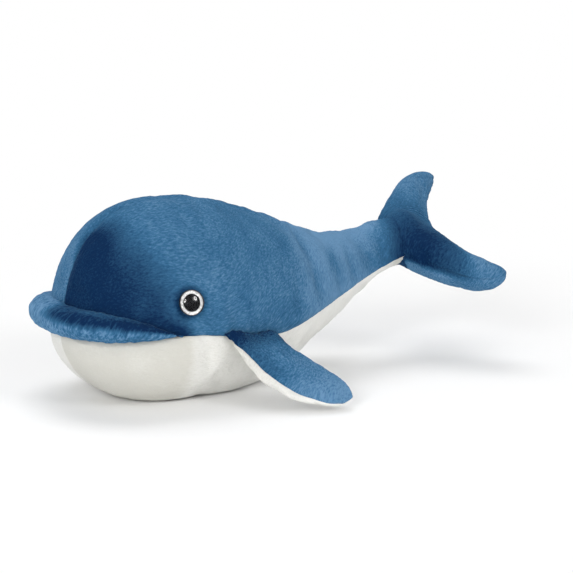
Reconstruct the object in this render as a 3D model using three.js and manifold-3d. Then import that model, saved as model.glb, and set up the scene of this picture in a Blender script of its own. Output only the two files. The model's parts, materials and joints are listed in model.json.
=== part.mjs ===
// A plush blue whale that lies on its belly: sewn plush panels over stuffing, a stuffed roll
// for the upper lip, two flippers on sewn root seams, a stuffed tail fluke and locking eyes.
// Millimetres, +Z up. The nose points to -X, the tail to +X, and the whale's left is at -Y.
// The origin is on the flat patch of the belly that the whale rests on.

import * as THREE from 'three';
import Module from 'manifold-3d';
import { mergeVertices } from 'three/addons/utils/BufferGeometryUtils.js';

const wasm = await Module();
wasm.setup();

// Fits that the whole whale shares
const CLEARANCE = 0.3;
const PANEL = 2.5;
const OVERRUN = 400;
const MERGE_DISTANCE = 0.001;

// Body: head, trunk and the stock of the tail, one sewn bag
const HEAD_LENGTH = 87;
const TRUNK_LENGTH = 234;
const BODY_WIDTH = 146;
const BODY_HEIGHT = 154;
const REST_SAG = 6.5;
const REST_OFFSET = 30;
const HEAD_ROUNDNESS = 2.3;
const CHIN_ROUNDNESS = 1.9;
const BACK_FULLNESS = 2;
const BELLY_FULLNESS = 2.5;
const WIDEST_HEIGHT_SHARE = 0.39;
const TRUNK_STATION_SHARES = [0, 0.08, 0.19, 0.39, 0.53, 0.66, 0.77, 0.87, 1];
const BACK_SHARES = [1, 0.997, 0.969, 0.872, 0.785, 0.728, 0.723, 0.754, 0.795];
const BELLY_SHARES = [0, 0, 0.003, 0.082, 0.203, 0.328, 0.426, 0.492, 0.544];
const WIDTH_SHARES = [1, 0.998, 0.965, 0.82, 0.67, 0.52, 0.405, 0.343, 0.31];
const HEAD_STEPS = 7;
const TRUNK_STEPS = 11;
const BODY_SIDES = 24;

// Seam between the blue back and the white belly, along the body and up it
const SEAM_STATION_SHARES = [0, 0.2, 0.3, 0.35, 0.52, 0.63, 0.735, 0.84, 0.945, 1];
const SEAM_HEIGHT_SHARES = [0.384, 0.384, 0.361, 0.343, 0.307, 0.356, 0.425, 0.495, 0.556, 0.595];

// Upper lip: a stuffed roll round the front of the head, in shares of the body's height and width
const LIP_CORNER_HEIGHT_SHARE = 0.38;
const LIP_HALF_HEIGHT_SHARE = 0.075;
const LIP_HANG_SHARE = 0.02;
const LIP_DEPTH_SHARE = 0.11;
const LIP_PROUD_SHARE = 0.11;
const LIP_SWEEP_DEG = 80;
const LIP_TAPER = 3.5;
const LIP_FILL_SHARE = 0.82;
const LIP_STEPS = 16;
const LIP_SIDES = 11;

// Flippers: two panels sewn round their edge, hinged on the root seam
const FLIPPER_LENGTH = 77;
const FLIPPER_ROOT = 57;
const FLIPPER_HALF_THICKNESS = 9;
const FLIPPER_DROOP_DEG = 40;
const FLIPPER_TWIST_DEG = 20;
const FLIPPER_FRONT_SHARE = 0.06;
const FLIPPER_REAR_SHARE = 0.303;
const ROOT_RADIUS = 3.2;
const FLIPPER_STATION_SHARES = [0, 0.2, 0.4, 0.55, 0.7, 0.82, 0.92, 0.98, 1];
const FLIPPER_LEAD_SHARES = [-0.5, -0.38, -0.28, -0.17, -0.03, 0.12, 0.34, 0.52, 0.66];
const FLIPPER_TRAIL_SHARES = [0.45, 0.51, 0.61, 0.72, 0.84, 0.92, 0.93, 0.87, 0.76];
const FLIPPER_SWELL_SHARES = [0.36, 0.85, 1, 1, 0.93, 0.8, 0.58, 0.36, 0.2];
const FLIPPER_SEAM_LIFT_SHARE = 0.7;
const FLIPPER_SEAM_SHARES = [3, 1, 0.5, 0, -0.5, -1, -3];
const FLIPPER_TWIST_END_SHARE = 0.6;
const FLIPPER_FILL_SHARES = [0.07, 0.92];
const FLIPPER_STEPS = 8;
const FLIPPER_SIDES = 12;
const ROOT_STEPS = 3;

// Tail fluke: two swept lobes on a neck that turns on the tail seam
const FLUKE_HALF_SPAN = 75;
const FLUKE_LENGTH = 60;
const FLUKE_HALF_THICKNESS = 14;
const FLUKE_YAW_DEG = -8;
const FLUKE_ROLL_DEG = 25;
const FLUKE_PITCH_DEG = 5;
const SEAM_TURN_RADIUS = 24;
const NECK_LENGTH = 22;
const NECK_END_HALF_HEIGHT = 6;
const NECK_END_HALF_WIDTH = 24;
const FLUKE_STATION_SHARES = [0, 0.3, 0.53, 0.7, 0.8, 0.915, 0.97, 1];
const FLUKE_LEAD_SHARES = [-0.38, -0.24, 0, 0.2, 0.32, 0.49, 0.63, 0.77];
const FLUKE_TRAIL_SHARES = [0.45, 0.55, 0.67, 0.8, 0.9, 0.99, 1, 0.95];
const FLUKE_SWELL_SHARES = [0.95, 1, 1, 0.97, 0.9, 0.72, 0.52, 0.3];
const FLUKE_FILL_SHARE = 0.93;
const FLUKE_STEPS = 7;
const FLUKE_SIDES = 12;
const NECK_STEPS = 4;

// Locking eyes: a clear dome with a stem, a pupil and a glitter disc behind it, a washer inside
const EYE_RUN_SHARE = -0.056;
const EYE_TURN_DEG = 16.2;
const EYE_RADIUS = 10;
const EYE_DOME_HEIGHT = 6;
const EYE_SEAT = 1;
const GLITTER_THICKNESS = 0.6;
const PUPIL_RADIUS = 6.6;
const PUPIL_THICKNESS = 0.5;
const STEM_RADIUS = 2.5;
const STEM_LENGTH = 12;
const STEM_RIDGES = 3;
const RIDGE_HEIGHT = 0.4;
const RIDGE_PITCH = 1.6;
const WASHER_RADIUS = 8;
const WASHER_THICKNESS = 1.5;
const WASHER_SETBACK = 1.8;
const EYE_SEGMENTS = 20;
const DOME_ARC_STEPS = 5;

const COLOURS = {
  blue: new THREE.MeshStandardMaterial({ color: 0x3f6fa6, roughness: 0.95, metalness: 0 }),
  white: new THREE.MeshStandardMaterial({ color: 0xe6e6e0, roughness: 0.95, metalness: 0 }),
  stuffing: new THREE.MeshStandardMaterial({ color: 0xf4f4f2, roughness: 1, metalness: 0 }),
  clear: new THREE.MeshStandardMaterial({ color: 0xf2f5f7, roughness: 0.05, metalness: 0 }),
  black: new THREE.MeshStandardMaterial({ color: 0x0a0a0a, roughness: 0.15, metalness: 0 }),
  glitter: new THREE.MeshStandardMaterial({ color: 0xc9ccce, roughness: 0.35, metalness: 0.7 }),
  washer: new THREE.MeshStandardMaterial({ color: 0xeeeeea, roughness: 0.5, metalness: 0 }),
};

// A closed geometry as a solid that can be joined and cut, with its faces turned outwards.
function solidOf(geometry) {
  const bare = new THREE.BufferGeometry();
  bare.setAttribute('position', geometry.getAttribute('position'));
  bare.setIndex(geometry.index);
  const merged = mergeVertices(bare, MERGE_DISTANCE);
  const corners = merged.index.array;
  const kept = [];
  for (let i = 0; i < corners.length; i += 3) {
    const [a, b, c] = corners.slice(i, i + 3);
    if (a !== b && b !== c && c !== a) kept.push(a, b, c);
  }
  const vertProperties = merged.getAttribute('position').array;
  const build = (triVerts) => new wasm.Manifold(new wasm.Mesh({ numProp: 3, vertProperties, triVerts }));
  const solid = build(new Uint32Array(kept));
  return solid.volume() < 0 ? build(new Uint32Array(kept.reverse())) : solid;
}

// The geometry of a solid after its joins and cuts.
function geometryOf(solid) {
  const mesh = solid.getMesh();
  const geometry = new THREE.BufferGeometry();
  const points = new Float32Array(mesh.vertProperties);
  geometry.setAttribute('position', new THREE.BufferAttribute(points, mesh.numProp));
  geometry.setIndex(new THREE.BufferAttribute(new Uint32Array(mesh.triVerts), 1));
  geometry.computeVertexNormals();
  return geometry;
}

// Turns spaced evenly round a ring.
function turnsOf(sides) {
  return Array.from({ length: sides }, (_, side) => (side * 2 * Math.PI) / sides);
}

function middleOf(ring) {
  return ring.reduce((sum, point) => sum.add(point), new THREE.Vector3()).divideScalar(ring.length);
}

// A closed skin through rings with as many points each. Its ends close on a tip.
function loft(rings, startTip = middleOf(rings[0]), endTip = middleOf(rings[rings.length - 1])) {
  const sides = rings[0].length;
  const points = [...rings.flat(), startTip, endTip];
  const start = points.length - 2;
  const end = points.length - 1;
  const last = (rings.length - 1) * sides;
  const faces = [];
  for (let side = 0; side < sides; side += 1) {
    const next = (side + 1) % sides;
    faces.push(start, next, side);
    for (let near = 0; near < last; near += sides) {
      const far = near + sides;
      faces.push(near + side, near + next, far + side);
      faces.push(near + next, far + next, far + side);
    }
    faces.push(end, last + side, last + next);
  }
  const geometry = new THREE.BufferGeometry().setFromPoints(points);
  geometry.setIndex(faces);
  return solidOf(geometry);
}

// A profile of [radius, height] points turned about its height.
function turned(profile) {
  const points = profile.map(([radius, height]) => new THREE.Vector2(radius, height));
  return new THREE.LatheGeometry(points, EYE_SEGMENTS).rotateX(Math.PI / 2);
}

// A smooth function through a table of stations and values.
function spline(stations, values) {
  const curve = new THREE.CubicInterpolant(stations, values, 1, [0]);
  return (station) => curve.evaluate(station)[0];
}

function box(low, high) {
  const size = new THREE.Vector3().subVectors(high, low);
  const middle = new THREE.Vector3().addVectors(low, high).multiplyScalar(0.5);
  return new THREE.BoxGeometry(size.x, size.y, size.z).translate(middle.x, middle.y, middle.z);
}

// Half of space over or under the level plane, less half the gap of a seam.
function halfSpace(up) {
  const gap = CLEARANCE / 2;
  return box(
    new THREE.Vector3(-OVERRUN, -OVERRUN, up ? gap : -OVERRUN),
    new THREE.Vector3(OVERRUN, OVERRUN, up ? OVERRUN : -gap)
  );
}

const backShare = spline(TRUNK_STATION_SHARES, BACK_SHARES);
const bellyShare = spline(TRUNK_STATION_SHARES, BELLY_SHARES);
const widthShare = spline(TRUNK_STATION_SHARES, WIDTH_SHARES);
const seamShare = spline(SEAM_STATION_SHARES, SEAM_HEIGHT_SHARES);

// The widest station of the head lies ahead of the middle of the patch that the whale rests on.
const WIDEST_X = -REST_OFFSET;
const NOSE_X = WIDEST_X - HEAD_LENGTH;
const HEAD_MIDDLE = THREE.MathUtils.lerp(-REST_SAG, BODY_HEIGHT, WIDEST_HEIGHT_SHARE);
const BODY_LENGTH = HEAD_LENGTH + TRUNK_LENGTH;

// The body's section at a run from -1, the nose, through 0, the widest, to 1, the tail seam.
function bodySection(run) {
  if (run < 0) {
    const angle = ((1 + run) * Math.PI) / 2;
    const swell = Math.sin(angle) ** (2 / HEAD_ROUNDNESS);
    const chinSwell = Math.sin(angle) ** (2 / CHIN_ROUNDNESS);
    return {
      x: WIDEST_X - HEAD_LENGTH * Math.cos(angle) ** (2 / HEAD_ROUNDNESS),
      halfWidth: (BODY_WIDTH / 2) * swell,
      middle: HEAD_MIDDLE,
      back: HEAD_MIDDLE + (BODY_HEIGHT - HEAD_MIDDLE) * swell,
      belly: HEAD_MIDDLE - (HEAD_MIDDLE + REST_SAG) * chinSwell,
    };
  }
  const back = BODY_HEIGHT * backShare(run);
  const belly = BODY_HEIGHT * bellyShare(run) - REST_SAG;
  return {
    x: WIDEST_X + TRUNK_LENGTH * run,
    halfWidth: (BODY_WIDTH / 2) * widthShare(run),
    middle: THREE.MathUtils.lerp(belly, back, WIDEST_HEIGHT_SHARE),
    back,
    belly,
  };
}

// A point on the body's outside. A turn of 0 faces +Y, and a quarter turn faces up.
// The belly that would sag below the floor lies flat on it.
function bodyPoint(run, turn) {
  const { x, halfWidth, middle, back, belly } = bodySection(run);
  const across = Math.cos(turn);
  const rise = Math.sin(turn);
  const power = 2 / (rise < 0 ? BELLY_FULLNESS : BACK_FULLNESS);
  const reach = rise < 0 ? middle - belly : back - middle;
  const y = halfWidth * Math.sign(across) * Math.abs(across) ** power;
  const z = middle + reach * Math.sign(rise) * Math.abs(rise) ** power;
  return new THREE.Vector3(x, y, Math.max(z, 0));
}

function bodyNormal(run, turn) {
  const nudge = 0.01;
  const ahead = bodyPoint(Math.max(run - nudge, -1), turn);
  const along = bodyPoint(Math.min(run + nudge, 1), turn).sub(ahead);
  const around = bodyPoint(run, turn + nudge).sub(bodyPoint(run, turn - nudge));
  return around.cross(along).normalize();
}

// One ring of the body, drawn in by an inset or let out by a negative one.
function bodyRing(run, inset) {
  return turnsOf(BODY_SIDES).map((turn) =>
    bodyPoint(run, turn).addScaledVector(bodyNormal(run, turn), -inset)
  );
}

function bodyForm(inset) {
  const rings = [];
  for (let step = 1; step < HEAD_STEPS; step += 1) rings.push(bodyRing(step / HEAD_STEPS - 1, inset));
  for (let step = 0; step <= TRUNK_STEPS; step += 1) rings.push(bodyRing(step / TRUNK_STEPS, inset));
  const nose = new THREE.Vector3(NOSE_X + inset, 0, HEAD_MIDDLE);
  return loft(rings, nose);
}

// The height of the side seam at a share of the body's length.
function seamHeight(share) {
  return BODY_HEIGHT * seamShare(share);
}

// Everything above or below the side seam, as a curve in side view that runs right across.
function seamSide(up) {
  const edge = up ? OVERRUN : -OVERRUN;
  const gap = (up ? CLEARANCE : -CLEARANCE) / 2;
  const outline = new THREE.Shape();
  outline.moveTo(-OVERRUN, edge);
  outline.lineTo(-OVERRUN, seamHeight(SEAM_STATION_SHARES[0]) + gap);
  const steps = HEAD_STEPS + TRUNK_STEPS;
  for (let step = 0; step <= steps; step += 1) {
    outline.lineTo(NOSE_X + (BODY_LENGTH * step) / steps, seamHeight(step / steps) + gap);
  }
  outline.lineTo(OVERRUN, seamHeight(SEAM_STATION_SHARES.at(-1)) + gap);
  outline.lineTo(OVERRUN, edge);
  const sheet = new THREE.ExtrudeGeometry(outline, { depth: 2 * OVERRUN, bevelEnabled: false });
  return solidOf(sheet.rotateX(Math.PI / 2).translate(0, OVERRUN, 0));
}

// The point of the trunk's side seam at a run, lifted or lowered, on side -1 (left) or 1 (right).
function seamPoint(run, side, lift = 0) {
  const { x, middle, back, belly } = bodySection(run);
  const z = seamHeight((x - NOSE_X) / BODY_LENGTH) + lift;
  const under = z < middle;
  const share = under ? (middle - z) / (middle - belly) : (z - middle) / (back - middle);
  const rise = share ** ((under ? BELLY_FULLNESS : BACK_FULLNESS) / 2);
  const turn = (under ? -1 : 1) * Math.asin(rise);
  return bodyPoint(run, side < 0 ? Math.PI - turn : turn);
}

// The frame of the fluke, in the middle of the tail seam: X runs back and Y along the lobes.
function flukeFrame() {
  const { x, back, belly } = bodySection(1);
  const frame = new THREE.Group();
  frame.position.set(x, 0, (back + belly) / 2);
  frame.rotateZ(THREE.MathUtils.degToRad(FLUKE_YAW_DEG));
  frame.rotateX(THREE.MathUtils.degToRad(FLUKE_ROLL_DEG));
  frame.rotateY(THREE.MathUtils.degToRad(-FLUKE_PITCH_DEG));
  frame.updateMatrix();
  return frame;
}

// The round bar across the tail seam that the neck of the fluke turns as, in the fluke's frame.
function seamBar(radius) {
  return new THREE.CylinderGeometry(radius, radius, 2 * OVERRUN, 2 * BODY_SIDES);
}

// The frame of an eye: its own +Z points straight out of the head.
function eyeFrame(side) {
  const turn = THREE.MathUtils.degToRad(side < 0 ? 180 - EYE_TURN_DEG : EYE_TURN_DEG);
  const frame = new THREE.Group();
  frame.position.copy(bodyPoint(EYE_RUN_SHARE, turn));
  frame.quaternion.setFromUnitVectors(new THREE.Vector3(0, 0, 1), bodyNormal(EYE_RUN_SHARE, turn));
  frame.updateMatrix();
  return frame;
}

const STEM_HOLE = STEM_RADIUS + RIDGE_HEIGHT + CLEARANCE;

// What an eye takes out of the panel: a pressed seat and a hole for the stem.
function eyeSeat(side) {
  const profile = [
    [0, -STEM_LENGTH],
    [STEM_HOLE, -STEM_LENGTH],
    [STEM_HOLE, -EYE_SEAT],
    [EYE_RADIUS + CLEARANCE, -EYE_SEAT],
    [EYE_RADIUS + CLEARANCE, EYE_DOME_HEIGHT],
    [0, EYE_DOME_HEIGHT],
  ];
  return solidOf(turned(profile).applyMatrix4(eyeFrame(side).matrix));
}

// What the washer and the end of the stem take out of the stuffing.
function washerRoom(side) {
  const back = PANEL + WASHER_SETBACK + WASHER_THICKNESS + CLEARANCE;
  const profile = [
    [0, -STEM_LENGTH - CLEARANCE],
    [STEM_HOLE, -STEM_LENGTH - CLEARANCE],
    [STEM_HOLE, -back],
    [WASHER_RADIUS + CLEARANCE, -back],
    [WASHER_RADIUS + CLEARANCE, 0],
    [0, 0],
  ];
  return solidOf(turned(profile).applyMatrix4(eyeFrame(side).matrix));
}

// The three panels of the body and the stuffing that they hold.
function bodySolids() {
  const tailEnd = solidOf(seamBar(SEAM_TURN_RADIUS + CLEARANCE).applyMatrix4(flukeFrame().matrix));
  const shell = bodyForm(0).subtract(bodyForm(PANEL)).subtract(tailEnd);
  const upper = shell.intersect(seamSide(true)).subtract(eyeSeat(-1)).subtract(eyeSeat(1));
  const right = solidOf(halfSpace(true).rotateX(-Math.PI / 2));
  const left = solidOf(halfSpace(false).rotateX(-Math.PI / 2));
  const stuffing = bodyForm(PANEL + CLEARANCE).subtract(tailEnd);
  return {
    back_panel_left: upper.intersect(left),
    back_panel_right: upper.intersect(right),
    belly_panel: shell.intersect(seamSide(false)),
    body_stuffing: stuffing.subtract(washerRoom(-1)).subtract(washerRoom(1)),
  };
}

const LIP_HALF_HEIGHT = BODY_HEIGHT * LIP_HALF_HEIGHT_SHARE;
const LIP_DEPTH = BODY_WIDTH * LIP_DEPTH_SHARE;
const LIP_PROUD = BODY_WIDTH * LIP_PROUD_SHARE;
const LIP_RISE = LIP_HALF_HEIGHT - BODY_HEIGHT * LIP_HANG_SHARE;

// The lip's roll: it follows the head in plan and dies out at the corners of the mouth.
function lipForm(inset, reachShare) {
  const onHead = (angle) => {
    const { x, halfWidth } = bodySection(Math.abs(angle) / (Math.PI / 2) - 1);
    return new THREE.Vector3(x, Math.sign(angle) * halfWidth, 0);
  };
  const sweep = THREE.MathUtils.degToRad(LIP_SWEEP_DEG);
  const nudge = sweep / LIP_STEPS;
  const rings = [];
  for (let step = 0; step <= LIP_STEPS; step += 1) {
    const share = reachShare * ((2 * step) / LIP_STEPS - 1);
    const angle = sweep * share;
    const taper = 1 - Math.abs(share) ** LIP_TAPER;
    const along = onHead(angle + nudge).sub(onHead(angle - nudge)).normalize();
    const out = new THREE.Vector3(-along.y, along.x, 0);
    const middle = onHead(angle).addScaledVector(out, (LIP_PROUD - LIP_DEPTH) * taper);
    middle.z = BODY_HEIGHT * LIP_CORNER_HEIGHT_SHARE + LIP_RISE * taper;
    const halfHeight = Math.max(LIP_HALF_HEIGHT * taper - inset, CLEARANCE);
    const halfDepth = Math.max(LIP_DEPTH * taper - inset, CLEARANCE);
    const up = new THREE.Vector3(0, 0, 1);
    rings.push(
      turnsOf(LIP_SIDES).map((turn) =>
        middle
          .clone()
          .addScaledVector(out, halfDepth * Math.cos(turn))
          .addScaledVector(up, halfHeight * Math.sin(turn))
      )
    );
  }
  return loft(rings);
}

function lipSolids() {
  const head = bodyForm(-CLEARANCE);
  return {
    lip_cover: lipForm(0, 1).subtract(lipForm(PANEL, LIP_FILL_SHARE)).subtract(head),
    lip_stuffing: lipForm(PANEL + CLEARANCE, LIP_FILL_SHARE).subtract(head),
  };
}

// A point of a pillow's station, which has a place along Y, a low and a high X and a twist about Y.
// Across runs from -1 at the low edge to 1 at the high one.
function stationPoint({ y, low, high, twist = 0 }, across, z) {
  const x = (low + high) / 2 + ((high - low) / 2) * across;
  return new THREE.Vector3(x, y, z).applyAxisAngle(new THREE.Vector3(0, 1, 0), twist);
}

// A pillow through stations that have a half thickness too.
function pillow(stations, sides) {
  const ring = (station) =>
    turnsOf(sides).map((turn) => stationPoint(station, Math.cos(turn), station.rise * Math.sin(turn)));
  return loft(stations.map(ring));
}

// The frame of a flipper: X runs back along the root seam, and Y or -Y runs out along the blade.
function flipperFrame(side) {
  const front = seamPoint(FLIPPER_FRONT_SHARE, side);
  const rear = seamPoint(FLIPPER_REAR_SHARE, side);
  const along = rear.clone().sub(front).normalize();
  const across = new THREE.Vector3(0, 1, 0);
  across.addScaledVector(along, -across.dot(along)).normalize();
  const middle = front.clone().add(rear).multiplyScalar(0.5);
  let bulge = 0;
  for (let step = 0; step <= BODY_SIDES; step += 1) {
    const run = THREE.MathUtils.lerp(FLIPPER_FRONT_SHARE, FLIPPER_REAR_SHARE, step / BODY_SIDES);
    for (const lift of [-ROOT_RADIUS, 0, ROOT_RADIUS]) {
      const reach = seamPoint(run, side, lift).sub(middle).dot(across) * side;
      bulge = Math.max(bulge, reach);
    }
  }
  const frame = new THREE.Group();
  frame.position.copy(middle).addScaledVector(across, side * (bulge + ROOT_RADIUS + CLEARANCE));
  const up = new THREE.Vector3().crossVectors(along, across);
  frame.quaternion.setFromRotationMatrix(new THREE.Matrix4().makeBasis(along, across, up));
  frame.rotateX(THREE.MathUtils.degToRad(-side * FLIPPER_DROOP_DEG));
  frame.updateMatrix();
  return frame;
}

const flipperLead = spline(FLIPPER_STATION_SHARES, FLIPPER_LEAD_SHARES);
const flipperTrail = spline(FLIPPER_STATION_SHARES, FLIPPER_TRAIL_SHARES);
const flipperSwell = spline(FLIPPER_STATION_SHARES, FLIPPER_SWELL_SHARES);

// A station of a flipper at a share of its length. Its leading edge twists down along the blade.
function flipperStation(share, side, inset = 0) {
  const twist = THREE.MathUtils.degToRad(FLIPPER_TWIST_DEG);
  return {
    y: side * FLIPPER_LENGTH * share,
    low: FLIPPER_ROOT * flipperLead(share) + inset,
    high: FLIPPER_ROOT * flipperTrail(share) - inset,
    rise: FLIPPER_HALF_THICKNESS * flipperSwell(share) - inset,
    twist: -twist * THREE.MathUtils.smoothstep(share, 0, FLIPPER_TWIST_END_SHARE),
  };
}

// The whole flipper: its root edge is a half round about the hinge line.
function flipperForm(side) {
  const stations = [];
  for (let step = 1; step < ROOT_STEPS; step += 1) {
    const angle = ((step / ROOT_STEPS) * Math.PI) / 2;
    const y = -side * ROOT_RADIUS * Math.cos(angle);
    stations.push({ ...flipperStation(0, side), y, rise: ROOT_RADIUS * Math.sin(angle) });
  }
  for (let step = 0; step <= FLIPPER_STEPS; step += 1) {
    const share = Math.sin(((step / FLIPPER_STEPS) * Math.PI) / 2);
    stations.push(flipperStation(share, side));
  }
  return pillow(stations, FLIPPER_SIDES);
}

// The room inside a flipper: it stops short of the root seam and the tip.
function flipperRoom(side, inset) {
  const [from, to] = FLIPPER_FILL_SHARES;
  const slack = (inset - PANEL) / FLIPPER_LENGTH;
  const stations = [];
  for (let step = 0; step <= FLIPPER_STEPS; step += 1) {
    const share = THREE.MathUtils.lerp(from + slack, to - slack, step / FLIPPER_STEPS);
    stations.push(flipperStation(share, side, inset));
  }
  return pillow(stations, FLIPPER_SIDES);
}

// Over or under the flipper's edge seam, which rises from the trailing edge to the leading one.
function flipperSide(side, up) {
  const stations = [{ ...flipperStation(0, side), y: -side * FLIPPER_LENGTH }];
  for (let step = 0; step <= FLIPPER_STEPS; step += 1) {
    stations.push(flipperStation(step / FLIPPER_STEPS, side));
  }
  stations.push({ ...flipperStation(1, side), y: 2 * side * FLIPPER_LENGTH });
  const gap = (up ? CLEARANCE : -CLEARANCE) / 2;
  const far = up ? OVERRUN : -OVERRUN;
  const [first, last] = [FLIPPER_SEAM_SHARES[0], FLIPPER_SEAM_SHARES.at(-1)];
  const rings = stations.map((station) => {
    const lift = FLIPPER_SEAM_LIFT_SHARE * station.rise;
    const sheet = FLIPPER_SEAM_SHARES.map((across) =>
      stationPoint(station, across, (lift * (1 - across)) / 2 + gap)
    );
    return [...sheet, stationPoint(station, last, far), stationPoint(station, first, far)];
  });
  return loft(rings);
}

function flipperSolids(side) {
  const shell = flipperForm(side).subtract(flipperRoom(side, PANEL));
  return {
    top: shell.intersect(flipperSide(side, true)),
    underside: shell.intersect(flipperSide(side, false)),
    stuffing: flipperRoom(side, PANEL + CLEARANCE),
  };
}

const flukeLead = spline(FLUKE_STATION_SHARES, FLUKE_LEAD_SHARES);
const flukeTrail = spline(FLUKE_STATION_SHARES, FLUKE_TRAIL_SHARES);
const flukeSwell = spline(FLUKE_STATION_SHARES, FLUKE_SWELL_SHARES);

// The two lobes of the fluke as one swept pillow, up to a share of their span.
function lobeForm(inset, reachShare) {
  const stations = [];
  for (let step = -FLUKE_STEPS; step <= FLUKE_STEPS; step += 1) {
    const place = reachShare * Math.sin(((step / FLUKE_STEPS) * Math.PI) / 2);
    const share = Math.abs(place);
    stations.push({
      y: FLUKE_HALF_SPAN * place,
      low: FLUKE_LENGTH * flukeLead(share) + inset,
      high: FLUKE_LENGTH * flukeTrail(share) - inset,
      rise: FLUKE_HALF_THICKNESS * flukeSwell(share) - inset,
    });
  }
  return pillow(stations, FLUKE_SIDES);
}

// The neck goes on from the body's own sections and flattens between the lobes.
function neckForm(inset) {
  const inFluke = flukeFrame().matrix.clone().invert();
  const roll = THREE.MathUtils.degToRad(FLUKE_ROLL_DEG);
  const frontRun = 1 - SEAM_TURN_RADIUS / TRUNK_LENGTH - 1 / TRUNK_STEPS;
  const ringAt = (run) => bodyRing(run, inset).map((point) => point.applyMatrix4(inFluke));
  const rings = [frontRun, (1 + frontRun) / 2].map(ringAt);
  const seam = ringAt(1);
  const end = turnsOf(BODY_SIDES).map((turn) => {
    const y = (NECK_END_HALF_WIDTH - inset) * Math.cos(turn - roll);
    const z = (NECK_END_HALF_HEIGHT - inset) * Math.sin(turn - roll);
    return new THREE.Vector3(NECK_LENGTH, y, z);
  });
  for (let step = 0; step <= NECK_STEPS; step += 1) {
    const share = step / NECK_STEPS;
    const ease = THREE.MathUtils.smoothstep(share, 0, 1);
    rings.push(
      seam.map((point, side) => {
        const moved = point.clone().lerp(end[side], ease);
        moved.x = THREE.MathUtils.lerp(point.x, end[side].x, share);
        return moved;
      })
    );
  }
  return loft(rings);
}

// The fluke in its own frame.
function flukeSolids() {
  const behind = solidOf(
    box(new THREE.Vector3(0, -OVERRUN, -OVERRUN), new THREE.Vector3(OVERRUN, OVERRUN, OVERRUN))
  );
  const room = solidOf(seamBar(SEAM_TURN_RADIUS)).add(behind);
  const form = (inset, reachShare) => neckForm(inset).add(lobeForm(inset, reachShare));
  const shell = form(0, 1).intersect(room).subtract(form(PANEL, FLUKE_FILL_SHARE));
  const fill = FLUKE_FILL_SHARE - CLEARANCE / FLUKE_HALF_SPAN;
  return {
    fluke_top: shell.intersect(solidOf(halfSpace(true))),
    fluke_underside: shell.intersect(solidOf(halfSpace(false))),
    fluke_stuffing: form(PANEL + CLEARANCE, fill).intersect(room),
  };
}

// Heights over the panel of the parts that are stacked in an eye.
const GLITTER_BASE = CLEARANCE - EYE_SEAT;
const PUPIL_BASE = GLITTER_BASE + GLITTER_THICKNESS + CLEARANCE;
const DOME_BACK = PUPIL_BASE + PUPIL_THICKNESS + CLEARANCE;

// The clear dome and its stem are one moulding, with a recess for the pupil and a ridged stem.
function domeGeometry() {
  const recess = PUPIL_RADIUS + CLEARANCE;
  const profile = [[0, -STEM_LENGTH], [STEM_RADIUS, -STEM_LENGTH]];
  const firstRidge = RIDGE_PITCH - STEM_LENGTH;
  for (let ridge = 0; ridge < STEM_RIDGES; ridge += 1) {
    const base = firstRidge + ridge * RIDGE_PITCH;
    profile.push([STEM_RADIUS, base], [STEM_RADIUS + RIDGE_HEIGHT, base + RIDGE_PITCH / 2]);
  }
  profile.push([STEM_RADIUS, firstRidge + STEM_RIDGES * RIDGE_PITCH]);
  profile.push([STEM_RADIUS, DOME_BACK], [recess, DOME_BACK], [recess, PUPIL_BASE], [EYE_RADIUS, PUPIL_BASE]);
  for (let step = 0; step < DOME_ARC_STEPS; step += 1) {
    const lift = ((step / DOME_ARC_STEPS) * Math.PI) / 2;
    profile.push([EYE_RADIUS * Math.cos(lift), DOME_BACK + EYE_DOME_HEIGHT * Math.sin(lift)]);
  }
  profile.push([0, DOME_BACK + EYE_DOME_HEIGHT]);
  return turned(profile);
}

// A flat ring round the stem, from its own base up.
function ringGeometry(hole, radius, base, thickness) {
  const top = base + thickness;
  return turned([[hole, base], [radius, base], [radius, top], [hole, top], [hole, base]]);
}

function eyeGeometries() {
  const hole = STEM_RADIUS + CLEARANCE;
  const washerBase = -PANEL - WASHER_SETBACK - WASHER_THICKNESS;
  return {
    dome: domeGeometry(),
    pupil: ringGeometry(hole, PUPIL_RADIUS, PUPIL_BASE, PUPIL_THICKNESS),
    glitter: ringGeometry(hole, EYE_RADIUS, GLITTER_BASE, GLITTER_THICKNESS),
    washer: ringGeometry(STEM_HOLE, WASHER_RADIUS, washerBase, WASHER_THICKNESS),
  };
}

function named(name, geometry, material) {
  const mesh = new THREE.Mesh(geometry, material);
  mesh.name = name;
  return mesh;
}

const whale = new THREE.Group();

const body = bodySolids();
whale.add(named('back_panel_left', geometryOf(body.back_panel_left), COLOURS.blue));
whale.add(named('back_panel_right', geometryOf(body.back_panel_right), COLOURS.blue));
whale.add(named('belly_panel', geometryOf(body.belly_panel), COLOURS.white));
whale.add(named('body_stuffing', geometryOf(body.body_stuffing), COLOURS.stuffing));

const lip = lipSolids();
whale.add(named('lip_cover', geometryOf(lip.lip_cover), COLOURS.blue));
whale.add(named('lip_stuffing', geometryOf(lip.lip_stuffing), COLOURS.stuffing));

for (const [word, side] of [['left', -1], ['right', 1]]) {
  const flipper = flipperFrame(side);
  const solids = flipperSolids(side);
  flipper.add(named(`flipper_${word}_top`, geometryOf(solids.top), COLOURS.blue));
  flipper.add(named(`flipper_${word}_underside`, geometryOf(solids.underside), COLOURS.white));
  flipper.add(named(`flipper_${word}_stuffing`, geometryOf(solids.stuffing), COLOURS.stuffing));
  whale.add(flipper);

  const eye = eyeFrame(side);
  const shapes = eyeGeometries();
  eye.add(named(`eye_dome_${word}`, shapes.dome, COLOURS.clear));
  eye.add(named(`eye_pupil_${word}`, shapes.pupil, COLOURS.black));
  eye.add(named(`eye_glitter_${word}`, shapes.glitter, COLOURS.glitter));
  eye.add(named(`eye_washer_${word}`, shapes.washer, COLOURS.washer));
  whale.add(eye);
}

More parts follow.
